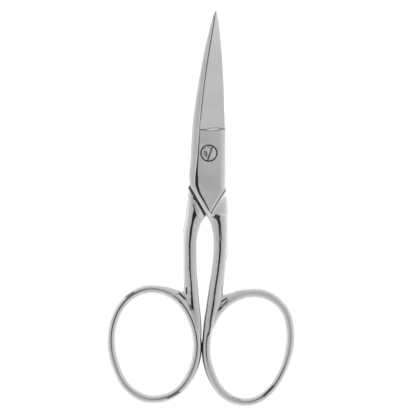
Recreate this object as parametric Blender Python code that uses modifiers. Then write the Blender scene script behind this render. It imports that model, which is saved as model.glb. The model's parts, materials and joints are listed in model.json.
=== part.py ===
"""Curved nail scissors: two forged halves that cross on a slotted pivot screw.

Metres, +Z up. The scissors lie on their back with the tips turned up: +Y runs to the tips, +X to
the right bow, and the origin is under the middle of the overall length. The front half carries the
left blade and the right bow, the rear half the right blade and the left bow.
"""

import math

import bmesh
import bpy
from mathutils import Vector

MM = 0.001

# Overall layout
overall_length = 90.0 * MM
blade_reach = 32.3 * MM
opening_gap_at_bows = 0.3 * MM
handle_reach = overall_length - blade_reach
pivot_y = overall_length / 2 - blade_reach

# Joint: two laps, one over the other
lap_thickness = 1.75 * MM
lap_gap = 0.3 * MM
lap_half_width = 3.72 * MM
lap_flare = 0.26 * MM
lap_length = 7.6 * MM
joint_thickness = 2 * lap_thickness + lap_gap
middle_height = joint_thickness / 2

# Crossing: each lap ends on a slanted edge that runs on into its shank
crossing_length = 6.1 * MM
crossing_slope = math.radians(31.4)
shoulder_gap = 0.45 * MM
shield_tip_x = 0.85 * MM
shield_edge_break = 0.12 * MM
crossing_round_share = 0.42
bar_inset = 0.12 * MM

# Blades
blade_rise = 6.5 * MM
curve_start_share = 0.14
plan_fullness = 1.6
plan_taper = 0.75
tip_half_width = 0.17 * MM
grind_start = 5.0 * MM
grind_run = 0.9 * MM
spine_height = 1.5 * MM
spine_height_at_tip = 0.5 * MM
edge_height = 0.6 * MM
edge_height_at_tip = 0.26 * MM
edge_reveal = 0.3 * MM
edge_reveal_run = 5.0 * MM
edge_break = 0.08 * MM
spine_round_share = 0.32
spine_round_height_share = 0.72
lap_round_width = 1.05 * MM
lap_round_height = 0.75 * MM

# Shanks, from the lap to the bow
bar_start = 6.0 * MM
bar_spread = 4.88 * MM
bar_thickness = 2.7 * MM
bar_thickness_at_bow = 2.15 * MM
bar_drop_start_share = 0.28
bar_drop_end_share = 0.62
bar_stations_inner_outer_shares = (
    (0.104, 0.000, 0.790),
    (0.132, 0.000, 0.820),
    (0.243, 0.000, 0.932),
    (0.277, 0.236, 0.967),
    (0.305, 0.340, 0.988),
    (0.345, 0.408, 1.000),
    (0.400, 0.404, 0.978),
    (0.468, 0.348, 0.941),
    (0.515, 0.281, 0.925),
    (0.562, 0.211, 0.920),
    (0.610, 0.140, 0.880),
    (0.660, 0.085, 0.640),
    (0.710, 0.055, 0.500),
    (0.750, 0.060, 0.390),
)

# Bows: leaning oval rings of oval strand
bow_half_length = 12.65 * MM
bow_half_width = 9.70 * MM
bow_lean = math.radians(9.0)
strand_width = 1.72 * MM
strand_thickness = 2.0 * MM
strand_swell_share = 0.10
bow_height = strand_thickness * (1 + strand_swell_share) / 2

# Webs that fill the corner between each shank and the top of its bow
web_corner_drop = 1.1 * MM
web_start_turn = math.radians(35.0)
web_end_turn = math.radians(74.0)

# Pivot screw and its seat
head_radius = 1.78 * MM
head_thickness = 0.8 * MM
head_crown = 0.12 * MM
head_edge_break = 0.15 * MM
seat_gap = 0.28 * MM
stem_radius = 1.1 * MM
stem_gap = 0.25 * MM
stem_recess = 0.25 * MM
slot_width = 0.45 * MM
slot_depth = 0.4 * MM
slot_turn = math.radians(-17.5)

# Mesh detail
overrun = 2.0 * MM
weld_distance = 0.002 * MM
blade_sections = 24
lap_sections = 10
crossing_sections = 8
bar_sections = 34
bar_sides = 18
bar_squareness = 2.3
round_steps = 5
bow_points = 84
bow_bevel_steps = 4
web_sections = 12
screw_steps = 40
sharp_angle = math.radians(35.0)


def clear_scene():
    """Remove every object of the open scene."""
    for item in list(bpy.data.objects):
        bpy.data.objects.remove(item, do_unlink=True)


def ease(value):
    """A smooth step from 0 to 1."""
    value = min(max(value, 0.0), 1.0)
    return value * value * (3.0 - 2.0 * value)


def between(low, high, share):
    """The value that lies share of the way from low to high."""
    return low + (high - low) * share


def curve_through(place, places, values):
    """A smooth curve through the values, read at place."""
    if place <= places[0]:
        return values[0]
    if place >= places[-1]:
        return values[-1]
    step = max(i for i in range(len(places) - 1) if places[i] <= place)
    slopes = []
    for i in (step, step + 1):
        before = max(i - 1, 0)
        after = min(i + 1, len(places) - 1)
        slopes.append((values[after] - values[before]) / (places[after] - places[before]))
    run = places[step + 1] - places[step]
    t = (place - places[step]) / run
    start_part = (1 + 2 * t) * (1 - t) ** 2 * values[step] + t * (1 - t) ** 2 * run * slopes[0]
    end_part = t * t * (3 - 2 * t) * values[step + 1] + t * t * (t - 1) * run * slopes[1]
    return start_part + end_part


def blade_lift(y):
    """How far the blades have curved up, y in front of the pivot."""
    start = curve_start_share * blade_reach
    return blade_rise * (max(y - start, 0.0) / (blade_reach - start)) ** 2


def blade_half_width(y):
    """Half the closed blades' width, y in front of the pivot."""
    share = (1.0 - min(y / blade_reach, 1.0) ** plan_fullness) ** plan_taper
    return between(tip_half_width, lap_half_width, share)


def crossing_edge(y):
    """The slanted lower edge of the front lap, measured from its left corner."""
    corner = -(lap_half_width + lap_flare)
    return corner + (-lap_length - y) * math.tan(crossing_slope)


def rounded_section(left, right, left_top, right_top, left_round, right_round):
    """A lap's or a blade's section, as (x, height) points, with both top corners rounded.

    left_round and right_round are (width, height) of each corner's rounding.
    """
    points = [(left, 0.0)]
    for i in range(round_steps + 1):
        turn = math.pi / 2 * i / round_steps
        x = left + left_round[0] * (1 - math.cos(turn))
        points.append((x, left_top - left_round[1] * (1 - math.sin(turn))))
    for i in range(round_steps + 1):
        turn = math.pi / 2 * i / round_steps
        x = right - right_round[0] * (1 - math.sin(turn))
        points.append((x, right_top - right_round[1] * (1 - math.cos(turn))))
    points.append((right, 0.0))
    return points


def blade_section(y):
    """The ground blade's section, y in front of the pivot."""
    ground_from = grind_start + grind_run
    share = (y - ground_from) / (blade_reach - ground_from)
    half = blade_half_width(y)
    spine = between(spine_height, spine_height_at_tip, share)
    edge = between(edge_height, edge_height_at_tip, share)
    from_ends = ease((y - ground_from) / edge_reveal_run) * ease((blade_reach - y) / edge_reveal_run)
    reveal = edge_reveal * from_ends
    spine_round = (spine_round_share * half, spine_round_height_share * spine)
    return rounded_section(-half, half - reveal, spine, edge, spine_round, (edge_break, edge_break))


def lap_section(y):
    """The unground lap's section, from the grind's start down to the lap's left corner."""
    half = blade_half_width(max(y, 0.0)) + lap_flare * ease(-y / lap_length)
    left_round = (spine_round_share * half, spine_round_height_share * lap_thickness)
    right_round = (lap_round_width, lap_round_height)
    return rounded_section(-half, half, lap_thickness, lap_thickness, left_round, right_round)


def crossing_section(y):
    """The lap's section on its slanted stretch, which narrows to the shield's tip."""
    share = (-lap_length - y) / crossing_length
    half = lap_half_width + lap_flare
    left = crossing_edge(y)
    right = between(half, shield_tip_x, ease(share) * (1 - share) + share * share)
    most = crossing_round_share * (right - left)
    left_round = (min(spine_round_share * half, most), spine_round_height_share * lap_thickness)
    right_width = min(between(lap_round_width, shield_edge_break, ease(share)), most)
    right_round = (right_width, between(lap_round_height, shield_edge_break, ease(share)))
    return rounded_section(left, right, lap_thickness, lap_thickness, left_round, right_round)


def blade_plate(name, side):
    """One half's blade and lap in one loft. side is 1 for the front half and -1 for the rear one."""
    places = []
    ground_from = grind_start + grind_run
    for i in range(blade_sections):
        y = between(blade_reach, ground_from, i / (blade_sections - 1))
        places.append((y, blade_section(y)))
    for i in range(lap_sections):
        y = between(grind_start, -lap_length, i / (lap_sections - 1))
        places.append((y, lap_section(y)))
    for i in range(crossing_sections):
        y = -lap_length - crossing_length * (i + 1) / crossing_sections
        places.append((y, crossing_section(y)))
    rings = []
    for y, section in places:
        floor = middle_height + blade_lift(y)
        rings.append([(side * x, y, floor + side * (lap_gap / 2 + height)) for x, height in section])
    return loft(name, rings)


def shank_bar(name, side):
    """One half's shank: a rounded bar from under the lap into the bow's strand."""
    rings = []
    stations, inner_shares, outer_shares = zip(*bar_stations_inner_outer_shares)
    last_share = stations[-1]
    first_share = bar_start / handle_reach
    corner_share = stations[2]
    for i in range(bar_sections + 1):
        share = between(first_share, last_share, i / bar_sections)
        y = -share * handle_reach
        outer = curve_through(share, stations, outer_shares) * bar_spread
        inner = curve_through(share, stations, inner_shares) * bar_spread
        if share < corner_share:
            inner = min(crossing_edge(min(y, -lap_length)), inner)
        drop = ease((share - bar_drop_start_share) / (bar_drop_end_share - bar_drop_start_share))
        centre_z = between(middle_height, bow_height, drop)
        half_z = between(bar_thickness, bar_thickness_at_bow, drop) / 2
        inner += bar_inset
        outer -= bar_inset * (1 - ease((share - first_share) / corner_share))
        rings.append(oval_section(inner, outer, y, centre_z, half_z, side))
    return loft(name, rings)


def oval_section(inner, outer, y, centre_z, half_z, side):
    """A squared oval from inner to outer, at y behind the pivot."""
    centre_x = (inner + outer) / 2
    half_x = (outer - inner) / 2
    ring = []
    for i in range(bar_sides):
        turn = 2 * math.pi * i / bar_sides
        along = math.copysign(abs(math.cos(turn)) ** (2 / bar_squareness), math.cos(turn))
        up = math.copysign(abs(math.sin(turn)) ** (2 / bar_squareness), math.sin(turn))
        ring.append((side * (centre_x + half_x * along), y, centre_z + half_z * up))
    return ring


def loft(name, rings):
    """A closed solid through rings of equally many points, with flat ends."""
    mesh = bpy.data.meshes.new(name)
    shape = bmesh.new()
    rows = [[shape.verts.new(point) for point in ring] for ring in rings]
    count = len(rows[0])
    for near, far in zip(rows, rows[1:]):
        for i in range(count):
            after = (i + 1) % count
            shape.faces.new((near[i], near[after], far[after], far[i]))
    shape.faces.new(rows[0])
    shape.faces.new(rows[-1])
    bmesh.ops.recalc_face_normals(shape, faces=shape.faces)
    shape.to_mesh(mesh)
    shape.free()
    return bpy.data.objects.new(name, mesh)


def bow_reach_x():
    """How far the leaning oval reaches sideways from its centre, along the strand's middle."""
    return math.hypot(bow_half_length * math.sin(bow_lean), bow_half_width * math.cos(bow_lean))


def bow_reach_y():
    """How far the leaning oval reaches along Y from its centre, along the strand's middle."""
    return math.hypot(bow_half_length * math.cos(bow_lean), bow_half_width * math.sin(bow_lean))


def bow_centre():
    """The right bow's centre, from the pivot."""
    beside_shank = strand_width * strand_swell(0.0) / 2
    at_end = strand_width * strand_swell(math.pi / 2) / 2
    x = opening_gap_at_bows / 2 + beside_shank + bow_reach_x()
    y = -(handle_reach - at_end - bow_reach_y())
    return Vector((x, y, bow_height))


def strand_swell(turn):
    """The strand's thickness as a share of its plain one, turn round the bow from the shank."""
    return 1 + strand_swell_share * (1 + math.cos(turn)) / 2


def bow_point(turn):
    """A point on the middle of the right bow's strand, turn round the bow from the shank."""
    across = -bow_half_width * math.cos(turn)
    along = bow_half_length * math.sin(turn)
    x = across * math.cos(bow_lean) + along * math.sin(bow_lean)
    y = along * math.cos(bow_lean) - across * math.sin(bow_lean)
    return bow_centre() + Vector((x, y, 0.0))


def bow_ring(name, side):
    """One bow: an oval strand bent round a leaning oval, thicker where it meets the shank."""
    data = bpy.data.curves.new(name, "CURVE")
    data.dimensions = "3D"
    data.bevel_depth = strand_width / 2
    data.bevel_resolution = bow_bevel_steps
    spline = data.splines.new("POLY")
    spline.points.add(bow_points - 1)
    spline.use_cyclic_u = True
    for i, point in enumerate(spline.points):
        turn = 2 * math.pi * i / bow_points
        middle = bow_point(turn)
        point.co = (side * middle.x, middle.y, 0.0, 1.0)
        point.radius = strand_swell(turn)
    guide = bpy.data.objects.new(name + "_path", data)
    guide.scale.z = strand_thickness / strand_width
    guide.location.z = bow_height
    return made_mesh(name, guide)


def bow_web(name, side):
    """The filled corner between a shank and its bow, which blends into the strand's outer side."""
    strand_top = bow_point(web_end_turn).y + strand_width * strand_swell(web_end_turn) / 2
    rings = []
    for i in range(web_sections + 1):
        share = i / web_sections
        turn = between(web_start_turn, web_end_turn, share)
        middle = bow_point(turn)
        top = strand_top - web_corner_drop * (1 - share) ** 2
        half_z = strand_thickness * strand_swell(turn) / 2
        ring = []
        for point in oval_section(middle.y, top, middle.x, bow_height, half_z, 1):
            ring.append((side * point[1], point[0], point[2]))
        rings.append(ring)
    return loft(name, rings)


def made_mesh(name, curve_object):
    """A closed mesh object in place of a curve object."""
    bpy.context.scene.collection.objects.link(curve_object)
    view = bpy.context.evaluated_depsgraph_get()
    mesh = bpy.data.meshes.new_from_object(curve_object.evaluated_get(view))
    mesh.name = name
    mesh.transform(curve_object.matrix_world)
    bpy.data.objects.remove(curve_object, do_unlink=True)
    shape = bmesh.new()
    shape.from_mesh(mesh)
    bmesh.ops.remove_doubles(shape, verts=shape.verts, dist=weld_distance)
    bmesh.ops.recalc_face_normals(shape, faces=shape.faces)
    shape.to_mesh(mesh)
    shape.free()
    return bpy.data.objects.new(name, mesh)


def turned_solid(name, profile):
    """A solid turned round Z from (radius, height) points, listed from the top down."""
    shape = bmesh.new()
    points = [shape.verts.new((radius, 0.0, height)) for radius, height in profile]
    for upper, lower in zip(points, points[1:]):
        shape.edges.new((upper, lower))
    mesh = bpy.data.meshes.new(name)
    shape.to_mesh(mesh)
    shape.free()
    item = bpy.data.objects.new(name, mesh)
    turn = item.modifiers.new("turn", "SCREW")
    turn.steps = screw_steps
    turn.render_steps = screw_steps
    turn.use_merge_vertices = True
    turn.merge_threshold = weld_distance
    return item


def screw_seat(name, side):
    """The cutter for one half's screw hole, with the head's counterbore in the front half."""
    hole = stem_radius + stem_gap
    bore = head_radius + seat_gap
    floor = joint_thickness - head_thickness - seat_gap
    if side > 0:
        profile = [(0.0, joint_thickness + overrun), (bore, joint_thickness + overrun), (bore, floor)]
        profile += [(hole, floor), (hole, middle_height - overrun / 2), (0.0, middle_height - overrun / 2)]
    else:
        profile = [(0.0, middle_height + overrun / 2), (hole, middle_height + overrun / 2)]
        profile += [(hole, -overrun), (0.0, -overrun)]
    return turned_solid(name, profile)


def lap_relief(name, side):
    """The cutter that halves a shank where the other half's lap crosses it."""
    lean = Vector((math.sin(crossing_slope), math.cos(crossing_slope)))
    out = Vector((math.cos(crossing_slope), -math.sin(crossing_slope)))
    corner = Vector((lap_half_width + lap_flare, -lap_length)) + out * shoulder_gap
    far_up = corner + lean * lap_length
    far_down = corner - lean * (crossing_length + lap_length)
    outline = [far_up, Vector((-far_up.x, far_up.y)), Vector((-far_up.x, far_down.y)), far_down]
    data = bpy.data.curves.new(name, "CURVE")
    data.dimensions = "2D"
    data.fill_mode = "BOTH"
    spline = data.splines.new("POLY")
    spline.points.add(len(outline) - 1)
    spline.use_cyclic_u = True
    for point, corner_point in zip(spline.points, outline):
        point.co = (side * corner_point.x, corner_point.y, 0.0, 1.0)
    depth = lap_thickness + overrun
    data.extrude = depth / 2
    guide = bpy.data.objects.new(name + "_outline", data)
    guide.location.z = middle_height + side * (lap_gap / 2 - depth / 2)
    return made_mesh(name, guide)


def pivot_screw(name):
    """The slotted screw: a low domed head over a stem that is threaded into the rear half."""
    rim_z = joint_thickness
    under_head = joint_thickness - head_thickness
    profile = [(0.0, rim_z + head_crown)]
    for i in range(1, round_steps + 1):
        share = i / (round_steps + 1)
        radius = (head_radius - head_edge_break) * share
        profile.append((radius, rim_z + head_crown * (1 - share * share)))
    profile += [(head_radius - head_edge_break, rim_z), (head_radius, rim_z - head_edge_break)]
    profile += [(head_radius, under_head), (stem_radius, under_head)]
    profile += [(stem_radius, stem_recess), (0.0, stem_recess)]
    return turned_solid(name, profile)


def slot_cutter(name):
    """The cutter for the screw's driver slot."""
    bpy.ops.mesh.primitive_cube_add(size=1.0)
    item = bpy.context.object
    item.name = name
    item.scale = (slot_width, 2 * head_radius + overrun, 2 * slot_depth + head_crown)
    bpy.ops.object.transform_apply(location=False, rotation=False, scale=True)
    item.location.z = joint_thickness + head_crown / 2
    item.rotation_euler.z = slot_turn
    return item


def combine(target, tool, operation):
    """Join, or cut, target with tool by a Boolean modifier."""
    modifier = target.modifiers.new(tool.name, "BOOLEAN")
    modifier.operation = operation
    modifier.solver = "EXACT"
    modifier.object = tool


def smooth(item):
    """Shade a piece smooth but for its real edges."""
    item.data.shade_smooth()
    item.data.set_sharp_from_angle(angle=sharp_angle)


def metal(name, colour, roughness):
    """A plain metal finish."""
    finish = bpy.data.materials.new(name)
    finish.use_nodes = True
    shader = finish.node_tree.nodes["Principled BSDF"]
    shader.inputs["Base Color"].default_value = (*colour, 1.0)
    shader.inputs["Metallic"].default_value = 1.0
    shader.inputs["Roughness"].default_value = roughness
    return finish


def place(item, collection, parent=None):
    """Put an object in a collection, under a parent, with its origin on the pivot's axis."""
    for old in list(item.users_collection):
        old.objects.unlink(item)
    collection.objects.link(item)
    item.parent = parent


def hide_as_tool(item):
    """Mark an object as a cutter or a guide."""
    item.hide_render = True
    item.display_type = "WIRE"


def scissor_half(name, side, parts, tools, pivot, finish):
    """One forged half: blade, lap, shank and bow in one solid."""
    half = blade_plate(name, side)
    place(half, parts, pivot)
    shank = shank_bar(name + "_shank", side)
    relief = lap_relief(name + "_relief", side)
    bow = bow_ring(name + "_bow", side)
    web = bow_web(name + "_web", side)
    seat = screw_seat(name + "_seat", side)
    for tool in (shank, relief, bow, web, seat):
        place(tool, tools, pivot)
        hide_as_tool(tool)
    combine(shank, relief, "DIFFERENCE")
    combine(half, shank, "UNION")
    combine(half, bow, "UNION")
    combine(half, web, "UNION")
    combine(half, seat, "DIFFERENCE")
    smooth(half)
    half.data.materials.append(finish)
    return half


def main():
    """Build the scissors, closed."""
    clear_scene()
    parts = bpy.data.collections.new("curved_nail_scissors")
    tools = bpy.data.collections.new("cutters")
    bpy.context.scene.collection.children.link(parts)
    bpy.context.scene.collection.children.link(tools)
    pivot = bpy.data.objects.new("pivot_axis", None)
    pivot.location.y = pivot_y
    parts.objects.link(pivot)
    scissor_half("front_half", 1, parts, tools, pivot, metal("front_half_nickel", (0.72, 0.72, 0.73), 0.16))
    scissor_half("rear_half", -1, parts, tools, pivot, metal("rear_half_nickel", (0.70, 0.70, 0.71), 0.16))
    screw = pivot_screw("pivot_screw")
    place(screw, parts, pivot)
    screw.data.materials.append(metal("pivot_screw_steel", (0.66, 0.66, 0.67), 0.22))
    slot = slot_cutter("driver_slot")
    place(slot, tools, pivot)
    hide_as_tool(slot)
    combine(screw, slot, "DIFFERENCE")
    smooth(screw)


main()
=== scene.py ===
"""Curved nail scissors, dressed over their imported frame: forged, polished and ground nickel-plated steel.

Each half is made the way the real one is. The shank, its bow and the corner web are forged together,
which is one remeshed and smoothed body. The plate, with the blade and the flat lap, is lofted on it, and
the joint is cut last. Metres, +Z up, in the frame's own place.
"""

import json
import logging
import math
from dataclasses import dataclass, field
from enum import Enum

import bpy
import numpy as np
from mathutils import Matrix, Vector


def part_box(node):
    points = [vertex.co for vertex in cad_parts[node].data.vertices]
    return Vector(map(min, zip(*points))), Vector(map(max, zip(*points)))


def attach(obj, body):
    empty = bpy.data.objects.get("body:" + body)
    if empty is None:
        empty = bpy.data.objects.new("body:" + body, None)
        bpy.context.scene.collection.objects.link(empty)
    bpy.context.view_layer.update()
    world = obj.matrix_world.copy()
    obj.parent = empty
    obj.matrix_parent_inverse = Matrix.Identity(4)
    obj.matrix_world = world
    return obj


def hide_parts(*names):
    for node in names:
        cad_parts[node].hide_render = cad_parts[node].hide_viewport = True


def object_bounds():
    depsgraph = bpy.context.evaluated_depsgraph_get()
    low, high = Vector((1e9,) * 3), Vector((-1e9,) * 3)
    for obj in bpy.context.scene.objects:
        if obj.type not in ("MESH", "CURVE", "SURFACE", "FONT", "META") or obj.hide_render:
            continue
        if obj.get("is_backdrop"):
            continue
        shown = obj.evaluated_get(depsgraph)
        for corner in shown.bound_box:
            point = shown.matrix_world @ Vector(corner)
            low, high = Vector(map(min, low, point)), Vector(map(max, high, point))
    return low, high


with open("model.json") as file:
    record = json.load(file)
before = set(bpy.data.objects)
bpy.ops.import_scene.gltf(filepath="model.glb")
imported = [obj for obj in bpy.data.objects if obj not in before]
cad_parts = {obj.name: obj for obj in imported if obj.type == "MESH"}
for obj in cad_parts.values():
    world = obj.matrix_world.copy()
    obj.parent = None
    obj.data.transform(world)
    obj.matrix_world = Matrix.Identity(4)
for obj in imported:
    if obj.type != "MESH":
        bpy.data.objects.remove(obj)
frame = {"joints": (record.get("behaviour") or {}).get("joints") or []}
cad_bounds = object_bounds()

MM = 0.001
log = logging.getLogger("scissors")


class Side(Enum):
    """Which half: the front one carries the left blade and the right bow."""

    FRONT = 1
    REAR = -1


class Skin(Enum):
    """The finishes of a half, in the order of its material slots; the last is a dark painted shade for its
    creases.
    """

    POLISHED = 0
    GROUND = 1
    JOINT = 2
    # Painted shade: a dark skin along the grind's shoulder, the blade's border land and the shield's groove.
    CREASE = 3


class Join(Enum):
    """What a Boolean modifier does."""

    UNION = "UNION"
    CUT = "DIFFERENCE"


def ease(value: float) -> float:
    """Return a smooth step from 0 to 1."""
    value = min(max(value, 0.0), 1.0)
    return value * value * (3.0 - 2.0 * value)


def between(low: float, high: float, share: float) -> float:
    """Return the value that lies share of the way from low to high."""
    return low + (high - low) * share


def even_shares(count: int) -> list:
    """Return count even shares that start at 0 and stop short of 1."""
    return [i / count for i in range(count)]


def curve_through(place: float, places: tuple, values: tuple) -> float:
    """Read a smooth curve through values.

    Args:
        place: where to read it.
        places: the rising places of the values.
        values: the values that the curve passes.

    Returns:
        The curve's value at place.
    """
    if place <= places[0]:
        return values[0]
    if place >= places[-1]:
        return values[-1]
    step = max(i for i in range(len(places) - 1) if places[i] <= place)
    slopes = []
    for i in (step, step + 1):
        before = max(i - 1, 0)
        after = min(i + 1, len(places) - 1)
        slopes.append((values[after] - values[before]) / (places[after] - places[before]))
    run = places[step + 1] - places[step]
    t = (place - places[step]) / run
    start_part = (1 + 2 * t) * (1 - t) ** 2 * values[step] + t * (1 - t) ** 2 * run * slopes[0]
    end_part = t * t * (3 - 2 * t) * values[step + 1] + t * t * (t - 1) * run * slopes[1]
    return start_part + end_part


def curves_through(place: float, table: tuple) -> list:
    """Read the smooth curve through each column of a table; its first column holds the places."""
    places, *columns = zip(*table)
    return [curve_through(place, places, values) for values in columns]


def turned(x: float, y: float, angle: float) -> tuple:
    """Return a point turned anticlockwise round the origin."""
    return x * math.cos(angle) - y * math.sin(angle), x * math.sin(angle) + y * math.cos(angle)


@dataclass(frozen=True)
class Layout:
    """The overall sizes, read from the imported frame."""

    pivot: Vector
    blade_reach: float
    handle_reach: float
    middle_height: float

    @classmethod
    def from_frame(cls) -> "Layout":
        """Return the layout that the frame's front half and its hinge give.

        Returns:
            The layout.
        """
        pivot = Vector(frame["joints"][0]["pos_m"])
        low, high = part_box("front_half")
        return cls(
            pivot=Vector((pivot.x, pivot.y, 0.0)),
            blade_reach=high.y - pivot.y,
            handle_reach=pivot.y - low.y,
            middle_height=pivot.z,
        )


class Workshop:
    """Blender's mesh tools, wrapped for the few operations that the pieces need."""

    weld = 0.002 * MM
    stroke_reach = 1.6
    sharp_angle = math.radians(32.0)

    @staticmethod
    def select_only(*items: bpy.types.Object) -> None:
        """Select these objects and no others, and make the first one active.

        Args:
            items: the objects.
        """
        bpy.ops.object.select_all(action="DESELECT")
        for item in items:
            item.select_set(True)
        bpy.context.view_layer.objects.active = items[0]

    @classmethod
    def rolled_grid(cls, name: str, rings: np.ndarray, skins: np.ndarray) -> bpy.types.Object:
        """Roll a grid into a closed, capped tube through rings of points.

        Args:
            name: the new object's name.
            rings: the points, as (rings, points in a ring, 3).
            skins: the material slot of each face, as (rings - 1, points in a ring).

        Returns:
            The tube, with its faces pointing out.
        """
        count, points = rings.shape[:2]
        bpy.ops.object.select_all(action="DESELECT")
        bpy.ops.mesh.primitive_grid_add(x_subdivisions=points, y_subdivisions=count - 1, size=MM)
        item = bpy.context.object
        item.name = name
        item.data.name = name
        closed = np.concatenate([rings, rings[:, :1]], axis=1)
        item.data.vertices.foreach_set("co", closed.reshape(-1).astype(np.float32))
        item.data.polygons.foreach_set("material_index", skins.reshape(-1).astype(np.int32))
        item.data.update()
        cls.select_only(item)
        bpy.ops.object.mode_set(mode="EDIT")
        bpy.ops.mesh.select_all(action="SELECT")
        bpy.ops.mesh.remove_doubles(threshold=cls.weld)
        bpy.ops.mesh.select_all(action="DESELECT")
        bpy.ops.mesh.select_non_manifold()
        bpy.ops.mesh.fill_holes(sides=0)
        bpy.ops.mesh.select_all(action="SELECT")
        bpy.ops.mesh.normals_make_consistent(inside=False)
        bpy.ops.object.mode_set(mode="OBJECT")
        return item

    @classmethod
    def join(cls, *items: bpy.types.Object) -> bpy.types.Object:
        """Join objects into the first one and return it.

        Args:
            items: the objects.

        Returns:
            The first one, which holds them all.
        """
        cls.select_only(*items)
        bpy.ops.object.join()
        return items[0]

    @classmethod
    def apply(cls, item: bpy.types.Object, name: str) -> None:
        """Apply one of an object's modifiers."""
        cls.select_only(item)
        bpy.ops.object.modifier_apply(modifier=name)

    @classmethod
    def fuse(cls, item: bpy.types.Object, voxel: float) -> None:
        """Turn an object of overlapping solids into one skin of even small faces.

        Args:
            item: the object.
            voxel: the faces' size.
        """
        remesh = item.modifiers.new("fuse", "REMESH")
        remesh.mode = "VOXEL"
        remesh.voxel_size = voxel
        cls.apply(item, remesh.name)

    @classmethod
    def combine(cls, item: bpy.types.Object, tool: bpy.types.Object, how: Join) -> None:
        """Join a tool to an object, or cut it away, and delete the tool.

        Args:
            item: the object.
            tool: the other object.
            how: what is done with it.
        """
        modifier = item.modifiers.new(tool.name, "BOOLEAN")
        modifier.operation = how.value
        modifier.solver = "EXACT"
        modifier.material_mode = "INDEX"
        modifier.object = tool
        cls.apply(item, modifier.name)
        bpy.data.objects.remove(tool, do_unlink=True)

    @classmethod
    def soften(cls, item: bpy.types.Object, chosen: np.ndarray, repeat: int) -> None:
        """Relax the chosen vertices of an object.

        Args:
            item: the mesh object.
            chosen: one truth value for each vertex.
            repeat: how many times they move halfway to their neighbours' middle.
        """
        cls.select_only(item)
        bpy.ops.object.mode_set(mode="EDIT")
        bpy.ops.mesh.select_mode(type="VERT")
        bpy.ops.mesh.select_all(action="DESELECT")
        bpy.ops.object.mode_set(mode="OBJECT")
        item.data.vertices.foreach_set("select", chosen.astype(bool))
        bpy.ops.object.mode_set(mode="EDIT")
        bpy.ops.mesh.vertices_smooth(factor=0.5, repeat=repeat)
        bpy.ops.object.mode_set(mode="OBJECT")

    @classmethod
    def face_out(cls, item: bpy.types.Object, cuts: int = 0) -> None:
        """Cut an object's faces up, if cuts are asked for, and turn them outward.

        Args:
            item: the object.
            cuts: how many cuts each edge gets.
        """
        cls.select_only(item)
        bpy.ops.object.mode_set(mode="EDIT")
        bpy.ops.mesh.select_all(action="SELECT")
        if cuts:
            bpy.ops.mesh.subdivide(number_cuts=cuts)
        bpy.ops.mesh.normals_make_consistent(inside=False)
        bpy.ops.object.mode_set(mode="OBJECT")

    @classmethod
    def shade(cls, item: bpy.types.Object) -> None:
        """Shade an object smooth but for its sharp edges."""
        cls.select_only(item)
        bpy.ops.object.shade_smooth_by_angle(angle=cls.sharp_angle)

    @staticmethod
    def paint(item: bpy.types.Object, index: int) -> None:
        """Give all of an object's faces one material slot."""
        item.data.polygons.foreach_set("material_index", [index] * len(item.data.polygons))

    @staticmethod
    def dress(skins: list, *items: bpy.types.Object) -> None:
        """Give objects their materials.

        Args:
            skins: the materials, in the order of their slots.
            items: the objects.
        """
        for item in items:
            for skin in skins:
                item.data.materials.append(skin)

    @staticmethod
    def strokes(x: np.ndarray, y: np.ndarray, lines: tuple) -> np.ndarray:
        """Return how strongly soft strokes cover points.

        Args:
            x: the points' places across, in millimetres.
            y: their places along, in millimetres.
            lines: each stroke's start, end, half width and strength, as (x, y, x, y, width, strength).

        Returns:
            The strongest stroke's cover at each point.
        """
        cover = np.zeros(len(x))
        for x0, y0, x1, y1, width, strength in lines:
            run = np.array((x1 - x0, y1 - y0))
            along = np.clip(((x - x0) * run[0] + (y - y0) * run[1]) / (run @ run), 0.0, 1.0)
            away = np.hypot(x - x0 - along * run[0], y - y0 - along * run[1])
            fade = np.clip(Workshop.stroke_reach - away / width, 0.0, 1.0)
            cover = np.maximum(cover, strength * fade)
        return cover

    @staticmethod
    def note(item: bpy.types.Object, name: str, values: np.ndarray) -> None:
        """Note a value on each of an object's vertices, for its materials to read."""
        layer = item.data.attributes.new(name, "FLOAT", "POINT")
        layer.data.foreach_set("value", values.astype(np.float32))

    @staticmethod
    def places(item: bpy.types.Object) -> np.ndarray:
        """Return an object's vertices as an array of places.

        Args:
            item: the object.

        Returns:
            The places, as (vertices, 3).
        """
        flat = np.zeros(len(item.data.vertices) * 3, np.float32)
        item.data.vertices.foreach_get("co", flat)
        return flat.reshape(-1, 3)


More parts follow.
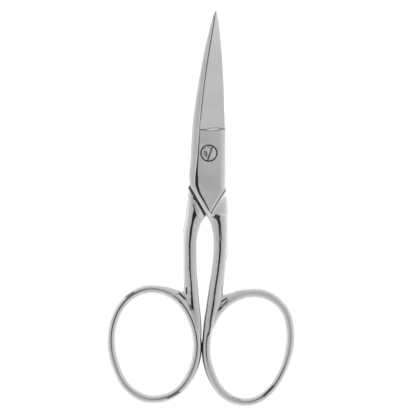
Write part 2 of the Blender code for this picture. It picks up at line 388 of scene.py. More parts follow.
@dataclass(frozen=True)
class Bar:
    """The shank's shape, read by the plate that grows out of it and by the forged handle."""

    layout: Layout
    crossing_slope: float = math.radians(31.4)
    merge_start: float = 14.0 * MM
    spread: float = 4.88 * MM
    thickness: float = 2.7 * MM
    thickness_at_bow: float = 2.15 * MM
    bow_height: float = 1.1 * MM
    plate_gap: float = 0.3 * MM
    drop_start_share: float = 0.28
    drop_end_share: float = 0.62
    front_stations_inner_outer_shares: tuple = (
        (0.104, 0.000, 0.790),
        (0.132, 0.000, 0.850),
        (0.185, 0.000, 0.978),
        (0.243, 0.000, 1.034),
        (0.277, 0.220, 1.059),
        (0.305, 0.325, 1.074),
        (0.345, 0.394, 1.082),
        (0.400, 0.416, 1.080),
        (0.468, 0.369, 1.043),
        (0.515, 0.302, 1.000),
        (0.562, 0.241, 0.945),
        (0.610, 0.187, 0.890),
        (0.660, 0.115, 0.640),
        (0.710, 0.075, 0.500),
        (0.750, 0.070, 0.390),
    )
    rear_stations_inner_outer_shares: tuple = (
        (0.104, 0.000, 0.790),
        (0.132, 0.000, 0.820),
        (0.243, 0.000, 0.932),
        (0.277, 0.203, 0.967),
        (0.305, 0.303, 1.028),
        (0.345, 0.378, 1.047),
        (0.400, 0.362, 1.008),
        (0.468, 0.312, 0.971),
        (0.515, 0.249, 0.930),
        (0.562, 0.181, 0.920),
        (0.610, 0.103, 0.880),
        (0.660, 0.025, 0.640),
        (0.710, -0.020, 0.500),
        (0.750, -0.015, 0.390),
    )
    front_crest_and_flat_shares: tuple = (
        (0.104, 0.300, 0.06),
        (0.200, 0.220, 0.06),
        (0.231, 0.220, 0.06),
        (0.238, 0.290, 0.12),
        (0.246, 0.520, 0.22),
        (0.252, 0.465, 0.25),
        (0.258, 0.445, 0.24),
        (0.264, 0.490, 0.16),
        (0.272, 0.518, 0.13),
        (0.300, 0.475, 0.10),
        (0.332, 0.465, 0.19),
        (0.371, 0.490, 0.09),
        (0.430, 0.480, 0.10),
        (0.490, 0.480, 0.10),
        (0.530, 0.475, 0.08),
        (0.569, 0.480, 0.05),
        (0.615, 0.495, 0.03),
        (0.650, 0.610, 0.02),
        (0.690, 0.760, 0.02),
        (0.750, 0.780, 0.02),
    )
    rear_crest_and_flat_shares: tuple = (
        (0.104, 0.500, 0.08),
        (0.200, 0.500, 0.10),
        (0.222, 0.480, 0.06),
        (0.231, 0.480, 0.12),
        (0.249, 0.490, 0.16),
        (0.268, 0.500, 0.04),
        (0.300, 0.437, 0.01),
        (0.332, 0.402, 0.01),
        (0.363, 0.433, 0.03),
        (0.395, 0.442, 0.06),
        (0.427, 0.422, 0.06),
        (0.458, 0.447, 0.10),
        (0.490, 0.438, 0.11),
        (0.522, 0.425, 0.09),
        (0.553, 0.408, 0.12),
        (0.585, 0.390, 0.12),
        (0.617, 0.400, 0.10),
        (0.680, 0.430, 0.06),
        (0.750, 0.500, 0.06),
    )
    rear_lean_share: float = 0.93
    rear_lean_start_share: float = 0.54
    rear_lean_run_share: float = 0.16
    deck_slope: float = 0.25
    deck_power: float = 1.15
    deck_most: float = 0.8
    outer_ridge_start_share: float = 0.42
    outer_ridge_run_share: float = 0.1
    rim_power: float = 8.0

    def share(self, y: float) -> float:
        """Return how far down the handle y lies."""
        return -y / self.layout.handle_reach

    def edges(self, y: float, side: Side) -> tuple:
        """Return the shank's inner and outer x at y.

        Args:
            y: the place in front of the pivot.
            side: which half.

        Returns:
            The inner and the outer x.
        """
        front = side is Side.FRONT
        table = self.front_stations_inner_outer_shares if front else self.rear_stations_inner_outer_shares
        inner, outer = curves_through(self.share(y), table)
        return inner * self.spread, outer * self.spread

    def ridge(self, y: float, side: Side) -> list:
        """Return how far over from its inner edge the shank is highest, and how much of it is flat there."""
        table = self.front_crest_and_flat_shares if side is Side.FRONT else self.rear_crest_and_flat_shares
        return curves_through(self.share(y), table)

    def levels(self, y: float) -> tuple:
        """Return the height of the shank's middle and half its thickness.

        Args:
            y: the place in front of the pivot.

        Returns:
            The height and half the thickness.
        """
        share = self.share(y)
        drop = ease((share - self.drop_start_share) / (self.drop_end_share - self.drop_start_share))
        middle = between(self.layout.middle_height, self.bow_height, drop)
        return middle, between(self.thickness, self.thickness_at_bow, drop) / 2

    def deck(self, y: float, side: Side, outer_side: bool) -> float:
        """Return how much of the section's height falls away evenly from the crest, like a roof.

        Args:
            y: the place in front of the pivot.
            side: which half.
            outer_side: whether the part outside the crest is meant.

        Returns:
            The share of the height.
        """
        inner, outer = self.edges(y, side)
        crest = self.ridge(y, side)[0]
        half = self.levels(y)[1]
        width = (outer - inner) * ((1 - crest) if outer_side else crest)
        return min(2 * self.deck_slope * width / (self.deck_power * half), self.deck_most)

    def profile(self, over: float, y: float, side: Side) -> float:
        """Return how high the section is beside its crest.

        Args:
            over: the place across, from -1 at the inner edge to 1 at the outer one.
            y: the place in front of the pivot.
            side: which half.

        Returns:
            The share of the crest's height.
        """
        flat = self.ridge(y, side)[1]
        over = math.copysign(max(abs(over) - flat, 0.0) / (1 - flat), over)
        reach = abs(over)
        if over >= 0.0:
            roof = ease((self.share(y) - self.outer_ridge_start_share) / self.outer_ridge_run_share)
            roof *= self.deck(y, side, True)
            return math.sqrt(max(1 - roof * reach**self.deck_power - (1 - roof) * reach * reach, 0.0))
        roof = self.deck(y, side, False)
        return math.sqrt(max(1 - roof * reach**self.deck_power - (1 - roof) * reach**self.rim_power, 0.0))

    def across(self, over: float, inner: float, outer: float, crest: float) -> float:
        """Return the x at over."""
        top = between(inner, outer, crest)
        return top + over * ((outer - top) if over >= 0.0 else (top - inner))

    def plate_level(self, y: float, side: Side) -> tuple:
        """Return the middle's and half the thickness, as heights over the plate's inner face."""
        middle, half = self.levels(y)
        return side.value * (middle - self.layout.middle_height) - self.plate_gap / 2, half

    def height(self, x: float, y: float, side: Side) -> float:
        """Return the shank's height over the plate's inner face.

        Args:
            x: the place across.
            y: the place in front of the pivot.
            side: which half.

        Returns:
            The height.
        """
        inner, outer = self.edges(y, side)
        top = between(inner, outer, self.ridge(y, side)[0])
        over = (x - top) / ((outer - top) if x >= top else (top - inner))
        middle, half = self.plate_level(y, side)
        return middle + half * self.profile(min(max(over, -1.0), 1.0), y, side)

    def point(self, turn: float, y: float, side: Side) -> tuple:
        """Return a point of the section's upper half.

        Args:
            turn: the angle, from the outer edge over the top.
            y: the place in front of the pivot.
            side: which half.

        Returns:
            The x and the height.
        """
        inner, outer = self.edges(y, side)
        over = math.cos(turn)
        middle, half = self.plate_level(y, side)
        x = self.across(over, inner, outer, self.ridge(y, side)[0])
        return x, middle + half * self.profile(over, y, side)


@dataclass
class Section:
    """One section of a plate, gathered strip by strip."""

    x: list = field(default_factory=list)
    height: list = field(default_factory=list)
    skin: list = field(default_factory=list)

    def add(self, x: list, height: list, kind: Skin) -> None:
        """Add a run of points whose strips have one skin.

        Args:
            x: the points' x.
            height: their heights.
            kind: the skin.
        """
        self.x.extend(x)
        self.height.extend(height)
        self.skin.extend([kind.value] * len(x))


@dataclass
class Plate:
    """One half's blade and lap: a loft whose sections run from the tip down onto the shank."""

    layout: Layout
    side: Side
    bar: Bar
    lap_gap: float = 0.3 * MM
    lap_thickness: float = 1.75 * MM
    half_width: float = 3.72 * MM
    flare: float = 0.26 * MM
    flare_run: float = 1.04 * MM
    corner_inset: float = 0.1 * MM
    lap_length: float = 7.6 * MM
    blade_rise: float = 6.5 * MM
    curve_start_share: float = 0.14
    fullness: float = 1.6
    taper: float = 0.75
    tip_half_width: float = 0.11 * MM
    grind_start: float = 5.0 * MM
    grind_run: float = 0.6 * MM
    grind_pinch: float = 0.27 * MM
    grind_climb: float = 0.38 * MM
    grind_fade: float = 0.5 * MM
    grind_pinch_shift_share: float = 0.27
    grind_low_climb_share: float = 0.75
    crease_width: float = 0.09 * MM
    crease_reach_share: float = 0.6
    spine_at_tip: float = 0.5 * MM
    edge_height: float = 0.62 * MM
    edge_at_tip: float = 0.26 * MM
    edge_bevel: float = 0.14 * MM
    edge_land: float = 0.05 * MM
    edge_reveal: float = 0.1 * MM
    edge_reveal_run: float = 5.0 * MM
    edge_stations: tuple = (
        (-7.6, -0.10, 0.05),
        (-6.9, 0.12, 0.10),
        (-5.0, 0.33, 0.18),
        (-1.5, 0.33, 0.18),
        (3.0, 0.36, 0.09),
        (6.4, 0.40, 0.08),
        (9.9, 0.34, 0.08),
        (14.4, 0.23, 0.00),
        (19.0, 0.13, 0.00),
        (23.6, 0.09, 0.00),
        (28.1, 0.01, 0.00),
        (32.3, 0.00, 0.00),
    )
    border_stations: tuple = (
        (-14.3, 0.95, 0.12, 0.38),
        (-12.0, 0.93, 0.38, 0.38),
        (-9.2, 0.84, 0.58, 0.36),
        (-7.6, 1.08, 0.72, 0.30),
        (-6.1, 1.28, 0.72, 0.28),
        (-4.2, 1.38, 0.48, 0.27),
        (-2.7, 1.43, 0.34, 0.27),
        (3.0, 1.57, 0.20, 0.27),
        (5.4, 1.54, 0.10, 0.27),
        (9.9, 1.47, 0.19, 0.27),
        (14.4, 1.28, 0.20, 0.26),
        (19.0, 1.11, 0.22, 0.24),
        (23.6, 0.93, 0.24, 0.22),
        (28.1, 0.64, 0.24, 0.20),
        (30.4, 0.38, 0.22, 0.19),
        (31.8, 0.17, 0.14, 0.19),
        (32.3, 0.08, 0.06, 0.19),
    )
    border_arc_share: float = 0.5
    border_rim: float = math.radians(47.0)
    border_slope_share: float = 0.14
    border_slope_steepness: float = 0.72
    border_drop_most_share: float = 0.9
    lap_round: float = 1.5 * MM
    lap_round_height: float = 0.8 * MM
    round_most_share: float = 0.42
    round_drop_most_share: float = 0.95
    face_least: float = 0.01 * MM
    outer_wall_share: float = 0.9
    shield_lead: float = 1.0 * MM
    shield_start: float = 8.9 * MM
    shield_corner_x: float = 3.75 * MM
    shield_slope: float = 0.581
    shield_round: float = 0.8 * MM
    shield_round_height: float = 0.13 * MM
    groove_width: float = 0.32 * MM
    groove_depth: float = 0.18 * MM
    skirt_reach: float = 0.45 * MM
    skirt_reach_on_bar: float = 0.15 * MM
    skirt_tighten_start: float = 10.8 * MM
    skirt_tighten_run: float = 2.2 * MM
    settle_start: float = 13.2 * MM
    settle_end: float = 15.2 * MM
    settle_least: float = 0.03 * MM
    settle_polish_share: float = 0.2
    slide_end: float = 16.7 * MM
    face_start_turn: float = math.radians(112.0)
    face_end_turn: float = math.radians(88.0)
    dive_start: float = 15.5 * MM
    dive_end: float = 24.0 * MM
    dive_depth: float = 0.04 * MM

    wall_points: int = 3
    arc_points: int = 12
    shelf_points: int = 4
    slope_points: int = 5
    land_points: int = 5
    face_points: int = 24
    round_points: int = 12
    groove_points: int = 3
    flank_points: int = 28
    under_points: int = 18
    station_counts: tuple = (84, 1, 5, 1, 50, 40, 40, 50)

    def lift(self, y: float) -> float:
        """Return how far the blades have curved up, y in front of the pivot.

        Args:
            y: the place in front of the pivot.

        Returns:
            The lift.
        """
        reach = self.layout.blade_reach
        start = self.curve_start_share * reach
        return self.blade_rise * (max(y - start, 0.0) / (reach - start)) ** 2

    def half_width_at(self, y: float) -> float:
        """Return half the closed blades' width, y in front of the pivot.

        Args:
            y: the place in front of the pivot.

        Returns:
            Half the width.
        """
        share = (1.0 - min(max(y, 0.0) / self.layout.blade_reach, 1.0) ** self.fullness) ** self.taper
        flare = self.flare * ease(-y / self.lap_length)
        return between(self.tip_half_width, self.half_width, share) + flare

    def slanted_edge(self, y: float) -> float:
        """Return the x of the lap's slanted lower edge."""
        corner = self.corner_inset - (self.half_width + self.flare)
        return corner + (-self.lap_length - y) * math.tan(self.bar.crossing_slope)

    def on_blade(self, y: float) -> float:
        """Return 0 on the lap and 1 on the ground blade."""
        return min(max((y - self.grind_start) / self.grind_run, 0.0), 1.0)

    def outline(self, y: float) -> tuple:
        """Return the plate's left and right x at y.

        Args:
            y: the place in front of the pivot.

        Returns:
            The left and the right x.
        """
        half = self.half_width_at(y)
        if y >= -self.lap_length:
            ends = ease((y - self.grind_start) / self.edge_reveal_run)
            ends *= ease((self.layout.blade_reach - y) / self.edge_reveal_run)
            extra = MM if self.side is Side.FRONT else 0.0
            left, right = (half + value * extra for value in curves_through(y / MM, self.edge_stations))
            return -left, right - self.edge_reveal * ends
        inner, outer = self.bar.edges(y, self.side)
        left = inner if y < -self.bar.merge_start else self.slanted_edge(y)
        half += self.edge_stations[0][2] * MM
        return left, between(half, outer, ease((-self.lap_length - y) / self.flare_run))

    def border(self, y: float) -> tuple:
        """Return the rounded border's width, its polished land's width and its shelf's steepness."""
        width, land, steepness = curves_through(y / MM, self.border_stations)
        return width * MM, land * MM, steepness

    def on_shield(self, y: float) -> float:
        """Return 0 where the lap's right edge runs straight and 1 where it is the shield's slanted one."""
        run = self.shield_start - self.lap_length + self.shield_lead
        return ease((-self.lap_length + self.shield_lead - y) / run)

    def thicknesses(self, y: float) -> tuple:
        """Return the plate's thickness along its left border and along its right edge.

        Args:
            y: the place in front of the pivot.

        Returns:
            The two thicknesses.
        """
        run = max((y - self.grind_start) / (self.layout.blade_reach - self.grind_start), 0.0)
        top = between(self.lap_thickness, self.spine_at_tip, run)
        return top, between(top, between(self.edge_height, self.edge_at_tip, run), self.on_blade(y))

    def add_border(self, ring: Section, y: float, left: float) -> float:
        """Add the left wall, the rounded border with its shelf and slope, and the land beside the face.

        Args:
            ring: the section so far.
            y: the section's place in front of the pivot.
            left: the plate's left x.

        Returns:
            The x where the face starts.
        """
        top = self.thicknesses(y)[0]
        border, land, shelf_tilt = self.border(y)
        arc = self.border_arc_share * border
        slope = self.border_slope_share * border
        rim, calm = self.border_rim, math.atan(shelf_tilt)
        radius = arc / (math.sin(rim) - math.sin(calm))
        shelf = border - arc - slope
        shelf_top = top - slope * self.border_slope_steepness
        arc_top = shelf_top - shelf * shelf_tilt
        arc_drop = min(radius * (math.cos(calm) - math.cos(rim)), arc_top * self.border_drop_most_share)
        wall_top = arc_top - arc_drop
        steps = even_shares(self.wall_points)
        kind = Skin.JOINT if y < -self.lap_length else Skin.POLISHED
        ring.add([left] * len(steps), [wall_top * s for s in steps], kind)
        for s in even_shares(self.arc_points):
            turn = between(rim, calm, s)
            rise = (math.cos(turn) - math.cos(rim)) / (math.cos(calm) - math.cos(rim))
            x = left + radius * (math.sin(rim) - math.sin(turn))
            ring.add([x], [wall_top + arc_drop * rise], Skin.POLISHED)
        steps = even_shares(self.shelf_points)
        heights = [between(arc_top, shelf_top, s) for s in steps]
        ring.add([left + arc + shelf * s for s in steps], heights, Skin.POLISHED)
        steps = even_shares(self.slope_points)
        heights = [between(shelf_top, top, (s + ease(s)) / 2) for s in steps]
        ring.add([left + arc + shelf + slope * s for s in steps], heights, Skin.POLISHED)
        steps = even_shares(self.land_points)
        # Painted shade: on the blade, the land beside the face takes the dark crease skin as the dark line
        # along the border.
        kind = Skin.CREASE if y > self.grind_start else Skin.POLISHED
        ring.add([left + border + land * s for s in steps], [top] * len(steps), kind)
        return left + border + land

    def add_face(self, ring: Section, y: float, left: float, right: float, face_left: float) -> tuple:
        """Add the face, its rounded right edge and the shield's groove.

        Args:
            ring: the section so far.
            y: the section's place in front of the pivot.
            left: the plate's left x.
            right: the plate's right x.
            face_left: the x where the face starts.

        Returns:
            The x and the height of the groove's far side.
        """
        blade, shield = self.on_blade(y), self.on_shield(y)
        top, face_end = self.thicknesses(y)
        line = self.shield_corner_x - (-self.shield_start - y) * self.shield_slope
        round_width = between(between(self.lap_round, self.edge_bevel, blade), self.shield_round, shield)
        round_width = min(round_width, self.round_most_share * (right - left))
        edge = between(right, min(line - self.groove_width / 2, right), shield)
        face_right = max(edge - round_width, face_left + self.face_least)
        edge = max(edge, face_right + self.face_least)
        round_height = between(self.lap_round_height, face_end - self.edge_land, blade)
        round_height = between(round_height, self.shield_round_height, shield)
        round_height = min(round_height, self.round_drop_most_share * face_end)
        steps = even_shares(self.face_points)
        heights = [between(top, face_end, s) for s in steps]
        ring.add([between(face_left, face_right, s) for s in steps], heights, Skin.GROUND)
        for i in range(self.round_points):
            turn = math.pi / 2 * i / self.round_points
            fall = between(1 - math.cos(turn), math.sin(turn) ** 2, shield)
            x = between(face_right, edge, math.sin(turn))
            ring.add([x], [face_end - round_height * fall], Skin.GROUND)
        foot = face_end - round_height
        groove, groove_depth = self.groove_width * shield, self.groove_depth * shield
        steps = even_shares(self.groove_points)
        # Painted shade: the shield's groove takes the dark crease skin.
        kind = Skin.CREASE if shield > 0.5 else Skin.GROUND
        ring.add([edge + groove * s for s in steps], [foot - groove_depth * s for s in steps], kind)
        return min(edge + groove, right), foot - groove_depth

    def add_flank(self, ring: Section, y: float, flank_left: float, flank_top: float, right: float) -> None:
        """Add the flank beyond the groove, which comes down onto the shank, and the right wall.

        Args:
            ring: the section so far.
            y: the section's place in front of the pivot.
            flank_left: the x where the flank starts.
            flank_top: its height there.
            right: the plate's right x.
        """
        over = flank_top - self.bar.height(flank_left, y, self.side)
        tight = ease((-y - self.skirt_tighten_start) / self.skirt_tighten_run)
        reach = between(self.skirt_reach, self.skirt_reach_on_bar, tight)
        kind = Skin.POLISHED if self.on_shield(y) > 0.5 else Skin.GROUND
        for i in range(self.flank_points):
            x = between(flank_left, right, math.sin(math.pi / 2 * i / self.flank_points))
            skirt = over * math.exp(-(x - flank_left) / reach)
            ring.add([x], [min(self.bar.height(x, y, self.side) + skirt, flank_top)], kind)
        wall_top = ring.height[-1] * self.outer_wall_share
        steps = even_shares(self.wall_points)
        kind = Skin.POLISHED if y < -self.lap_length else Skin.GROUND
        ring.add([right] * len(steps), [wall_top * (1 - s) for s in steps], kind)

    def settle(self, ring: Section, y: float) -> None:
        """Let a section down onto the shank, with points spaced as the shank's, where the plate runs out.

        Args:
            ring: the section, without its inner face.
            y: the place in front of the pivot.
        """
        settled = ease((-y - self.settle_start) / (self.settle_end - self.settle_start))
        if settled <= 0.0:
            return
        slide = ease((-y - self.settle_end) / (self.slide_end - self.settle_end))
        border_points = self.arc_points + self.shelf_points + self.slope_points + self.land_points
        edge_points = self.round_points + self.groove_points + self.flank_points
        groups = (
            (self.wall_points + border_points, math.pi, self.face_start_turn),
            (self.face_points, self.face_start_turn, self.face_end_turn),
            (edge_points + self.wall_points, self.face_end_turn, 0.0),
        )
        turns = [between(start, end, s) for count, start, end in groups for s in even_shares(count)]
        for at, turn in enumerate(turns):
            x = between(ring.x[at], self.bar.point(turn, y, self.side)[0], slide)
            least = self.settle_least * min(at, len(turns) - at, self.wall_points) / self.wall_points
            ground = max(self.bar.height(x, y, self.side), least)
            ring.x[at] = x
            ring.height[at] = between(ring.height[at], ground, settled)
            if settled > self.settle_polish_share:
                ring.skin[at] = Skin.POLISHED.value

    def dive(self, ring: Section, y: float, left: float, right: float) -> None:
        """Sink and narrow a section, so that the plate ends inside the shank.

        Args:
            ring: the section, without its inner face.
            y: the place in front of the pivot.
            left: the plate's left x.
            right: the plate's right x.
        """
        depth = ease((-y - self.dive_start) / (self.dive_end - self.dive_start)) * self.dive_depth
        if depth > 0.0:
            centre = (left + right) / 2
            ring.x = [centre + (x - centre) * (1 - 2 * depth / (right - left)) for x in ring.x]
            ring.height = [max(height - depth, 0.0) for height in ring.height]

    def section(self, y: float) -> Section:
        """Work out one section of the plate.

        Args:
            y: the section's place in front of the pivot.

        Returns:
            The section, from the lower left corner over the top and back along the inner face.
        """
        ring = Section()
        left, right = self.outline(y)
        face_left = self.add_border(ring, y, left)
        flank_left, flank_top = self.add_face(ring, y, left, right, face_left)
        self.add_flank(ring, y, flank_left, flank_top, right)
        self.settle(ring, y)
        self.dive(ring, y, left, right)
        steps = even_shares(self.under_points)
        kind = Skin.GROUND if y > self.grind_start else Skin.JOINT
        ring.add([between(ring.x[-1], ring.x[0], s) for s in steps], [0.0] * len(steps), kind)
        return ring

    def stations(self) -> list:
        """Return the sections' places, from the tip down, closer together where the shape turns.

        Returns:
            The places, from the tip to the plate's end in the shank.
        """
        grind_end = self.grind_start + self.grind_run
        stops = [self.layout.blade_reach, grind_end + self.crease_width, grind_end]
        stops += [self.grind_start, self.grind_start - self.crease_width, -self.lap_length]
        stops += [-self.settle_start, -self.slide_end, -self.dive_end]
        places = stops[:1]
        for start, end, count in zip(stops, stops[1:], self.station_counts):
            places += [between(start, end, (i + 1) / count) for i in range(count)]
        return places

    def bowed(self, x: float, y: float) -> float:
        """Return a point's y once the grind's two shoulder lines are bowed together at their ends.

        Args:
            x: the point's x.
            y: the point's place in front of the pivot.

        Returns:
            The bowed y.
        """
        across = min(max(x / self.half_width_at(y) + self.grind_pinch_shift_share, 0.0), 1.0)
        pinch = self.grind_pinch * (1 - 4 * across * (1 - across))
        climb = self.grind_climb * across
        start, end = self.grind_start, self.grind_start + self.grind_run
        low, high = start + pinch + climb * self.grind_low_climb_share, end - pinch + climb
        if y < start:
            return y + (low - start) * math.exp(-(((start - y) / self.grind_fade) ** 2))
        if y > end:
            return y + (high - end) * math.exp(-(((y - end) / self.grind_fade) ** 2))
        return between(low, high, (y - start) / self.grind_run)

    def build(self, name: str) -> bpy.types.Object:
        """Loft the plate.

        Args:
            name: the new object's name.

        Returns:
            The plate.
        """
        sign = self.side.value
        rings, skins = [], []
        places = self.stations()
        for y, after in zip(places, places[1:] + places[-1:]):
            section = self.section(y)
            middle = (y + after) / 2
            near = min(abs(middle - self.grind_start), abs(middle - self.grind_start - self.grind_run))
            # Painted shade: the rows of faces at the grind shoulder's top and bottom take the dark crease
            # skin.
            if near < self.crease_width * self.crease_reach_share and self.on_blade(middle) in (0.0, 1.0):
                crease_shading = {Skin.GROUND.value: Skin.CREASE.value}
                section.skin = [crease_shading.get(kind, kind) for kind in section.skin]
            floor = self.layout.middle_height + self.lift(y)
            ring = []
            for x, height in zip(section.x, section.height):
                ring.append((sign * x, self.bowed(x, y), floor + sign * (self.lap_gap / 2 + height)))
            rings.append(ring)
            skins.append(section.skin)
        rings = np.array(rings) + np.array(self.layout.pivot)
        return Workshop.rolled_grid(name, rings, np.array(skins[:-1]))


@dataclass
class Handle:
    """One half's shank and bow, forged in one."""

    layout: Layout
    side: Side
    bar: Bar
    plate: Plate
    bar_start: float = 6.0 * MM
    bar_end_share: float = 0.75
    bar_inset: float = 0.035 * MM
    bar_inset_fade: float = 8.0 * MM
    lap_inset: float = 0.09 * MM
    lap_inset_end: float = 15.5 * MM
    lap_inset_fade: float = 1.5 * MM
    shoulder_gap: float = 0.53 * MM
    shoulder_width: float = 1.06 * MM
    shoulder_slope: float = 0.32
    shoulder_end_share: float = 0.3
    bow_start_front: float = 0.10 * MM
    bow_start_rear: float = -0.32 * MM
    bow_half_length_front: float = 12.65 * MM
    bow_half_length_rear: float = 12.56 * MM
    bow_half_width_front: float = 9.51 * MM
    bow_half_width_rear: float = 9.81 * MM
    front_bow_shift: float = 0.18 * MM
    front_bow_egg: float = 0.25 * MM
    front_bow_egg_turn: float = math.radians(135.0)
    front_bow_bulges: tuple = ((-92.0, -0.15, 16.0), (132.0, 0.14, 14.0))
    rear_bow_bulges: tuple = (
        (50.0, 0.15, 18.0),
        (-114.0, 0.36, 20.0),
        (-138.0, 0.32, 16.0),
        (-40.0, -0.15, 20.0),
    )
    bow_rise_front: float = 0.05 * MM
    bow_rise_rear: float = 0.19 * MM
    bow_lean: float = math.radians(9.0)
    strand_width: float = 1.95 * MM
    strand_thickness: float = 2.0 * MM
    strand_swell_share: float = 0.10
    foot_thinning_share: float = 0.26
    foot_start: float = math.radians(13.0)
    foot_end: float = math.radians(45.0)
    foot_fade: float = math.radians(10.0)
    web_drop: float = 1.1 * MM
    web_start: float = math.radians(35.0)
    web_end: float = math.radians(74.0)
    web_fade_start: float = math.radians(24.0)
    web_fade_run: float = math.radians(14.0)
    web_fill_share_front: float = 0.42
    web_fill_share_rear: float = 0.5
    web_least_up: float = 0.3
    web_least_across: float = 0.1
    web_least_share: float = 1.02
    web_least_height_share: float = 0.3
    web_slope: float = 0.47
    web_break_share: float = 0.37
    web_round: float = 0.3 * MM
    relief_depth_over: float = 2.0 * MM
    relief_length_over: float = 10.1 * MM
    relief_width: float = 14.0 * MM
    relief_shift_share: float = 0.1
    relief_cuts: int = 3
    corner_turn: float = math.radians(50.0)
    corner_out: float = 1.6 * MM
    corner_reach: float = 2.5 * MM
    corner_smoothing: int = 20
    body_smoothing: int = 6
    voxel: float = 0.13 * MM
    bar_sections: int = 150
    bar_sides: int = 48
    bow_segments: int = 240
    strand_segments: int = 40
    edge_turns: tuple = (math.radians(-88.0), math.radians(12.0))
    edge_join: float = -42.0 * MM
    edge_end: float = -14.0 * MM
    edge_points: int = 60

    @property
    def bow_start(self) -> float:
        """How far from the middle the bow begins; the closed bows all but touch."""
        return self.bow_start_front if self.side is Side.FRONT else self.bow_start_rear

    @property
    def bow_half_width(self) -> float:
        """Half the width of the bow's middle line."""
        return self.bow_half_width_front if self.side is Side.FRONT else self.bow_half_width_rear

    @property
    def bow_half_length(self) -> float:
        """Half the length of the bow's middle line."""
        return self.bow_half_length_front if self.side is Side.FRONT else self.bow_half_length_rear

    def world(self, x: float, y: float, z: float) -> tuple:
        """Return a point of the right-hand half in the frame's place, mirrored for the rear half."""
        return (self.layout.pivot.x + self.side.value * x, self.layout.pivot.y + y, z)

    def shoulder_fall(self, x: float, y: float) -> float:
        """Return how far the shank's face falls beside the other half's lap.

        Args:
            x: the place across.
            y: the place in front of the pivot.

        Returns:
            The fall.
        """
        slope = self.bar.crossing_slope
        corner_x = self.plate.half_width + self.plate.flare
        away = (x - corner_x) * math.cos(slope) - (y + self.plate.lap_length) * math.sin(slope)
        return self.shoulder_slope * max(self.shoulder_width - max(away - self.shoulder_gap, 0.0), 0.0)

    def shank(self) -> bpy.types.Object:
        """Return the shank: a rounded bar from under the lap into the bow's strand.

        Returns:
            The shank.
        """
        first = self.bar_start / self.layout.handle_reach
        rings = []
        for i in range(self.bar_sections + 1):
            share = between(first, self.bar_end_share, i / self.bar_sections)
            y = -share * self.layout.handle_reach
            inner, outer = self.bar.edges(y, self.side)
            if y > -self.bar.merge_start:
                inner = min(self.plate.slanted_edge(min(y, -self.plate.lap_length)), inner)
            inset = self.bar_inset * (1 - ease((-y - self.plate.dive_start) / self.bar_inset_fade))
            if self.side is Side.FRONT:
                inset += self.lap_inset * ease((y + self.lap_inset_end) / self.lap_inset_fade)
            middle, half = self.bar.levels(y)
            crest = self.bar.ridge(y, self.side)[0]
            if self.side is Side.REAR:
                lean = ease((share - self.bar.rear_lean_start_share) / self.bar.rear_lean_run_share)
                half *= between(1.0, self.bar.rear_lean_share, lean)
            ring = []
            for j in range(self.bar_sides):
                turn = 2 * math.pi * j / self.bar_sides
                over = math.cos(turn)
                x = self.bar.across(over, inner + inset, outer - inset, crest)
                up = math.copysign(half * self.bar.profile(over, y, self.side), math.sin(turn))
                if self.side.value * up > 0:
                    up -= self.side.value * inset
                z = middle + up
                if self.side is Side.REAR and up > 0 and share < self.shoulder_end_share:
                    z -= self.shoulder_fall(x, y) * ease(up / half)
                ring.append(self.world(x, y, z))
            rings.append(ring)
        skins = np.zeros((len(rings) - 1, self.bar_sides))
        return Workshop.rolled_grid("shank", np.array(rings), skins)

    def swell(self, turn: float) -> float:
        """Return the strand's thickness as a share of its plain one, turn round from the shank."""
        return 1 + self.strand_swell_share * (1 + math.cos(turn)) / 2

    def bow_centre(self) -> Vector:
        """Return the bow's middle, from the pivot.

        Returns:
            The middle.
        """
        lean = self.bow_lean
        reach_x = math.hypot(self.bow_half_length * math.sin(lean), self.bow_half_width * math.cos(lean))
        reach_y = math.hypot(self.bow_half_length * math.cos(lean), self.bow_half_width * math.sin(lean))
        x = self.bow_start + self.strand_width * self.swell(0.0) / 2 + reach_x
        y = -(self.layout.handle_reach - self.strand_width * self.swell(math.pi / 2) / 2 - reach_y)
        if self.side is Side.FRONT:
            x, y = x + self.front_bow_shift, y + self.front_bow_shift + self.bow_rise_front
        else:
            y += self.bow_rise_rear
        return Vector((x, y, self.bar.bow_height))

    def bulge(self, turn: float) -> float:
        """Return how far the bow strays outward from an oval, turn round from the shank.

        Args:
            turn: the place round the bow, from the shank.

        Returns:
            The stray, which is negative where the bow is pressed in.
        """
        front = self.side is Side.FRONT
        stray = self.front_bow_egg * math.cos(3 * (self.front_bow_egg_turn - turn)) if front else 0.0
        for place, amount, width in self.front_bow_bulges if front else self.rear_bow_bulges:
            stray += amount * MM * math.exp(-(((math.degrees(turn) - place) / width) ** 2))
        return stray

    def bow_frame(self, turn: float) -> tuple:
        """Return the middle of the bow's strand, from the pivot, and its outward direction.

        Args:
            turn: the place round the bow, from the shank.

        Returns:
            The middle and the direction.
        """
        across = -self.bow_half_width * math.cos(turn)
        along = self.bow_half_length * math.sin(turn)
        normal = Vector((across / self.bow_half_width**2, along / self.bow_half_length**2)).normalized()
        outward = Vector((*turned(*normal, -self.bow_lean), 0.0))
        place = Vector((*turned(across, along, -self.bow_lean), 0.0))
        return self.bow_centre() + place + outward * self.bulge(turn), outward

    def web_width(self, turn: float) -> float:
        """Return the strand's outer half width, which fills the corner beside the shank.

        Args:
            turn: the place round the bow, from the shank.

        Returns:
            The half width.
        """
        plain = self.strand_width / 2 * self.swell(turn)
        if not self.web_fade_start < turn < self.web_end:
            return plain
        end_place, end_normal = self.bow_frame(self.web_end)
        line = end_place.y + plain * end_normal.y
        share = min(max((turn - self.web_start) / (self.web_end - self.web_start), 0.0), 1.0)
        place, normal = self.bow_frame(turn)
        wide = (line - self.web_drop * (1 - share) ** 2 - place.y) / max(normal.y, self.web_least_up)
        inner, outer = self.bar.edges(place.y, self.side)
        wide = min(wide, (place.x - (inner + outer) / 2) / max(-normal.x, self.web_least_across))
        fade = ease((turn - self.web_fade_start) / self.web_fade_run)
        fill = self.web_fill_share_front if self.side is Side.FRONT else self.web_fill_share_rear
        return plain + max(wide - plain, 0.0) * fade * fill

